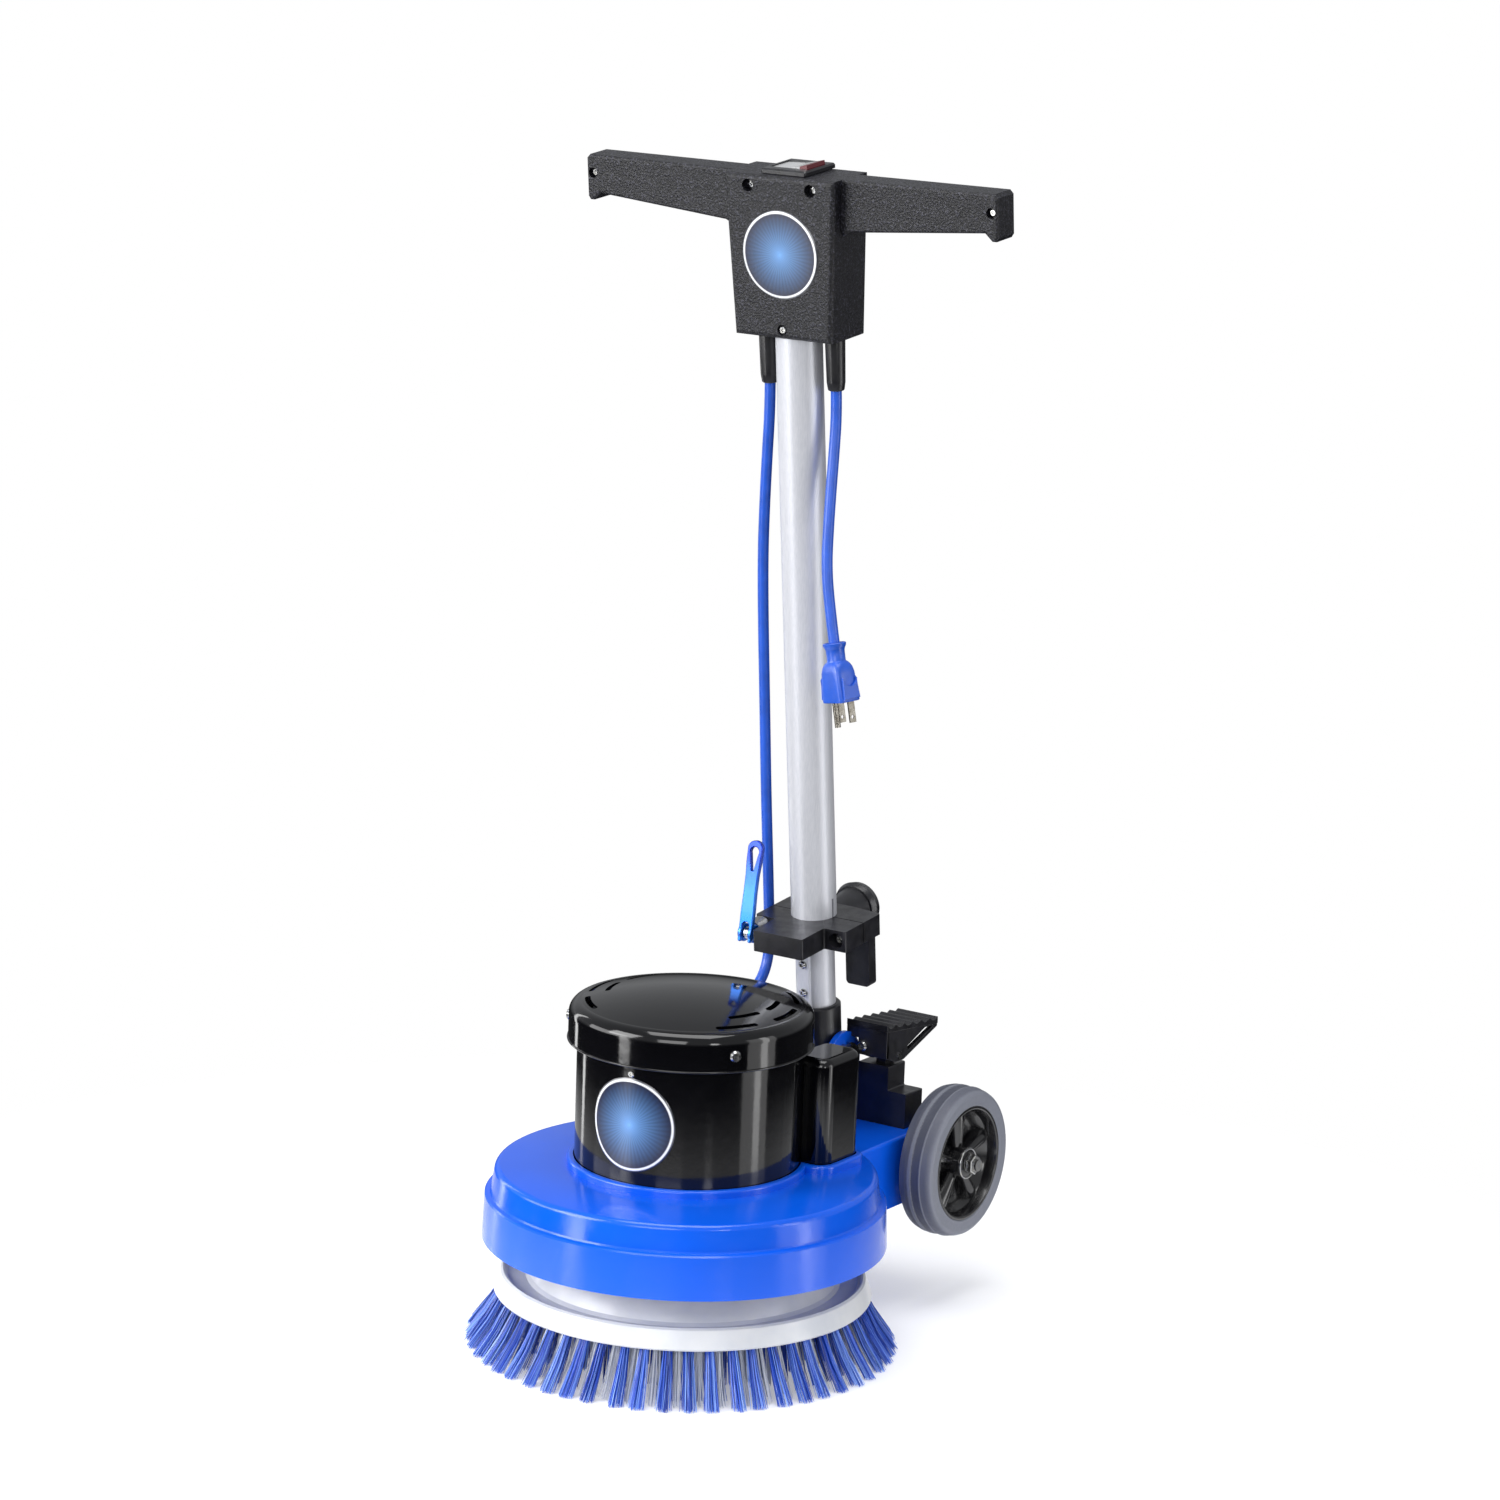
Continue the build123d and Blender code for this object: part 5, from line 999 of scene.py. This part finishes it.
# ---------------------------------------------------------------- plug
# Lengths in mm, heights measured down from the cord's end, angles in degrees
PLUG_SIDES = 72
PLUG_TURN = -16
PLUG_SECTIONS = [
    # height, half width, half depth, power, from the collar round the cord to the prongs' face
    (1.4, 5.0, 5.0, 2), (1.0, 7.2, 7.2, 2), (0.1, 8.2, 8.2, 2), (0.0, 9.0, 9.0, 2), (0.5, 9.5, 9.5, 2),
    (2.4, 9.3, 9.3, 2), (4.4, 8.2, 8.2, 2), (6.2, 7.7, 7.7, 2), (8.0, 7.6, 7.6, 2), (14.6, 7.6, 7.6, 2),
    (15.2, 7.9, 7.7, 2.1), (15.8, 8.6, 8.0, 2.6), (17.4, 9.9, 8.9, 3.2), (20.0, 11.0, 9.7, 4),
    (24.0, 11.6, 10.2, 5), (34.0, 12.1, 10.6, 6), (46.6, 12.75, 11.0, 6), (47.6, 12.6, 10.9, 6),
    (48.0, 12.0, 10.3, 6), (48.0, 2.0, 2.0, 2),
]
GRIP_ARCH, GRIP_RADIUS = (0, 28), 7
GRIP_FOOT = [(8.3, 45.5), (-8.3, 45.5)]
GRIP_OFFSET, GRIP_LEAN = 11.7, 2.5
GRIP_HALF_DEPTH, GRIP_EDGE = 1.2, 0.6


def superellipse(half_x, half_y, power):
    """Points round a section, from an ellipse at power 2 to a rounded oblong at power 6."""
    points = []
    for step in range(PLUG_SIDES):
        angle = TURN * step / PLUG_SIDES
        c, s = math.cos(angle), math.sin(angle)
        points.append((
            half_x * math.copysign(abs(c) ** (2 / power), c),
            half_y * math.copysign(abs(s) ** (2 / power), s),
        ))
    return points


def plug_place():
    """At the cord's end, in line with its last stretch and turned about it."""
    before, end = [Vector(point) * MM for point in POWER_CORD[-2:]]
    run = (end - before).normalized()
    turn = math.radians(PLUG_TURN)
    across = Vector((math.cos(turn), math.sin(turn), 0))
    across = (across - run * across.dot(run)).normalized()
    axes = Matrix((across, run.cross(across), run)).transposed()
    return Matrix.Translation(end) @ axes.to_4x4()


def make_plug():
    """Moulded three-pin plug: cup-shaped collar round the cord, neck, body and two arched grips."""
    place = plug_place()
    vertices = []
    for height, half_x, half_y, power in PLUG_SECTIONS:
        vertices += [(x * MM, y * MM, height * MM) for x, y in superellipse(half_x, half_y, power)]
    last = len(vertices) - PLUG_SIDES
    faces = bridge(0, last, PLUG_SIDES)
    faces.append(tuple(range(PLUG_SIDES)))
    faces.append(tuple(reversed(range(last, len(vertices)))))
    body = new_piece("plug_moulding", vertices, faces, "cord_blue", "handle_upper", place, crease=48)
    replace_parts(body, "plug_body")
    arch = in_metres(arc_points(GRIP_ARCH, GRIP_RADIUS, 180, 0, steps=20) + GRIP_FOOT)
    grips = []
    for side, name in ((-1, "far"), (1, "near")):
        stand = Matrix(((0, 0, 1), (side, 0, 0), (0, 1, 0))).to_4x4()
        lean = Matrix.Rotation(math.radians(GRIP_LEAN * side), 4, "Y")
        spot = place @ Matrix.Translation((side * GRIP_OFFSET * MM, 0, 0)) @ lean @ stand
        grips.append(plate(
            "plug_grip_" + name, [arch], GRIP_HALF_DEPTH * MM, GRIP_EDGE * MM, "cord_blue",
            "handle_upper", spot,
        ))
    return [body, *grips]


# ---------------------------------------------------------------- edges of the carried-over parts
# Radius of each CAD part's round-over, in mm
EDGED = {
    "clamp_front": 0.6, "clamp_rear": 0.6, "lock_bracket": 0.5, "switch_bezel": 0.3,
    "rocker": 0.3, "handle_socket": 0.3, "handle_yoke": 0.8, "capacitor_cover": 0.6,
}


def round_edges():
    """Small round-overs, as moulding leaves them, on the sharp edges of plain CAD parts."""
    for name, radius in EDGED.items():
        weld = nodes[name].modifiers.new("weld", "WELD")
        weld.merge_threshold = 0.01 * MM
        bevel = nodes[name].modifiers.new("round", "BEVEL")
        bevel.width = radius * MM
        bevel.segments = 3
        bevel.limit_method = "ANGLE"
        bevel.angle_limit = math.radians(35)
        bevel.harden_normals = True


# ---------------------------------------------------------------- badges
BADGE_RINGS, BADGE_SEGMENTS = 44, 288
# Shares of the badge's radius: the white ring's inner and outer edge
RING_FROM, RING_TO = 0.93, 0.975
BRUSH_LINES = 48

CAN_BADGE_RADIUS = 38.5 * MM
CAN_BADGE_THICKNESS = 0.7 * MM
CAN_BADGE_REACH = 92.1 * MM
CAN_BADGE_HEADING = math.radians(-86)
GRIP_BADGE_RADIUS = 36 * MM
GRIP_BADGE_THICKNESS = 0.9 * MM
GRIP_BADGE_PLACE = Vector((0, -23.85, 685.5)) * MM


def badge_colour(share, angle):
    """Generic round badge: a white ring inside a dark rim, round a finely brushed blue that darkens."""
    if RING_FROM < share <= RING_TO:
        return srgb(236, 238, 242)
    if share > RING_TO:
        return srgb(44, 46, 54)
    centre, edge = srgb(112, 172, 240), srgb(9, 20, 56)
    fade = min(1.0, (share / 0.9) ** 0.6)
    brushed = 0.86 + 0.14 * math.sin(angle * BRUSH_LINES)
    return (*(min(1.0, (a + (b - a) * fade) * brushed) for a, b in zip(centre[:3], edge[:3])), 1)


def badge(name, body, node, radius, wrap, place, thickness):
    """A thin disc with a rounded rim, printed, and wrapped round a cylinder of radius wrap if given."""
    vertices, faces, colours = [Vector((0, 0, thickness))], [], [badge_colour(0, 0)]
    for ring in range(1, BADGE_RINGS):
        share = ring / (BADGE_RINGS - 1)
        edge = max(0.0, (share - RING_FROM) / (1 - RING_FROM))
        height = thickness * math.sqrt(max(0.0, 1 - edge * edge))
        for step in range(BADGE_SEGMENTS):
            angle = TURN * step / BADGE_SEGMENTS
            reach = radius * share
            vertices.append(Vector((reach * math.cos(angle), reach * math.sin(angle), height)))
            colours.append(badge_colour(share, angle))
    for step in range(BADGE_SEGMENTS):
        ahead = (step + 1) % BADGE_SEGMENTS
        faces.append((0, 1 + step, 1 + ahead))
        for ring in range(BADGE_RINGS - 2):
            a, b = 1 + ring * BADGE_SEGMENTS, 1 + (ring + 1) * BADGE_SEGMENTS
            faces.append((a + step, b + step, b + ahead, a + ahead))
    if wrap:
        for vertex in vertices:
            turn = vertex.x / wrap
            reach = wrap + vertex.z
            vertex.x, vertex.z = reach * math.sin(turn), reach * math.cos(turn) - wrap
    piece = new_piece(name, vertices, faces, "badge_face", body, place)
    paint = piece.data.attributes.new("print", "FLOAT_COLOR", "POINT")
    paint.data.foreach_set("color", [value for colour in colours for value in colour])
    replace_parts(piece, node)


def make_badges():
    """One badge curved to the motor can, its face at CAN_BADGE_REACH, and a flat one on the grip."""
    low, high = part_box("motor_badge")
    out = Vector((math.cos(CAN_BADGE_HEADING), math.sin(CAN_BADGE_HEADING), 0))
    spot = out * (CAN_BADGE_REACH - CAN_BADGE_THICKNESS)
    spot.z = (low.z + high.z) / 2
    facing = Matrix((Vector((-out.y, out.x, 0)), Vector((0, 0, 1)), out)).transposed()
    badge(
        "can_badge", "deck", "motor_badge", CAN_BADGE_RADIUS, CAN_BADGE_REACH,
        Matrix.Translation(spot) @ facing.to_4x4(), CAN_BADGE_THICKNESS,
    )
    upright = Matrix.Rotation(math.pi / 2, 4, "X")
    badge(
        "grip_badge", "handle_upper", "head_badge", GRIP_BADGE_RADIUS, None,
        HANDLE @ Matrix.Translation(GRIP_BADGE_PLACE) @ upright, GRIP_BADGE_THICKNESS,
    )


# ---------------------------------------------------------------- floor
FLOOR_REACH = 9.0
FLOOR_DROP = 0.4 * MM
FLOOR_GLOW = 0.3
# Distances from the brush's axis where the floor starts to thin out and where it is gone
FLOOR_FADE = (0.34, 0.85)


def make_floor():
    """A white floor that catches the contact shadow and fades into the white behind it."""
    mesh = bpy.data.meshes.new("floor")
    corners = [(x * FLOOR_REACH, y * FLOOR_REACH, 0) for x, y in ((-1, -1), (1, -1), (1, 1), (-1, 1))]
    mesh.from_pydata(corners, [], [(0, 1, 2, 3)])
    floor = bpy.data.objects.new("floor", mesh)
    floor.location.z = -FLOOR_DROP
    scene.collection.objects.link(floor)
    made = Finish("floor_white", (0.90, 0.90, 0.905, 1), 0.22, specular=0.3)
    made.polish(made.noise(6, 3), 0.18, 0.26)
    away = made.node("VectorMath")
    away.operation = "LENGTH"
    made.link(made.place, away.inputs[0])
    made.set("Emission Color", (1, 1, 1, 1))
    made.set("Emission Strength", FLOOR_GLOW)
    fade = made.spread(away.outputs["Value"], 1, 0, *FLOOR_FADE)
    made.link(fade, made.shader.inputs["Alpha"])
    mesh.materials.append(made.material)


scene.view_settings.view_transform = "Standard"
make_camera()
make_world()
make_lights()
make_floor()
materials = make_materials()
make_cords()
make_bristles()
make_tyres()
make_hubs()
make_axle_ends()
make_lever()
make_pedal()
make_cap_lip()
make_reliefs()
make_badges()
round_edges()
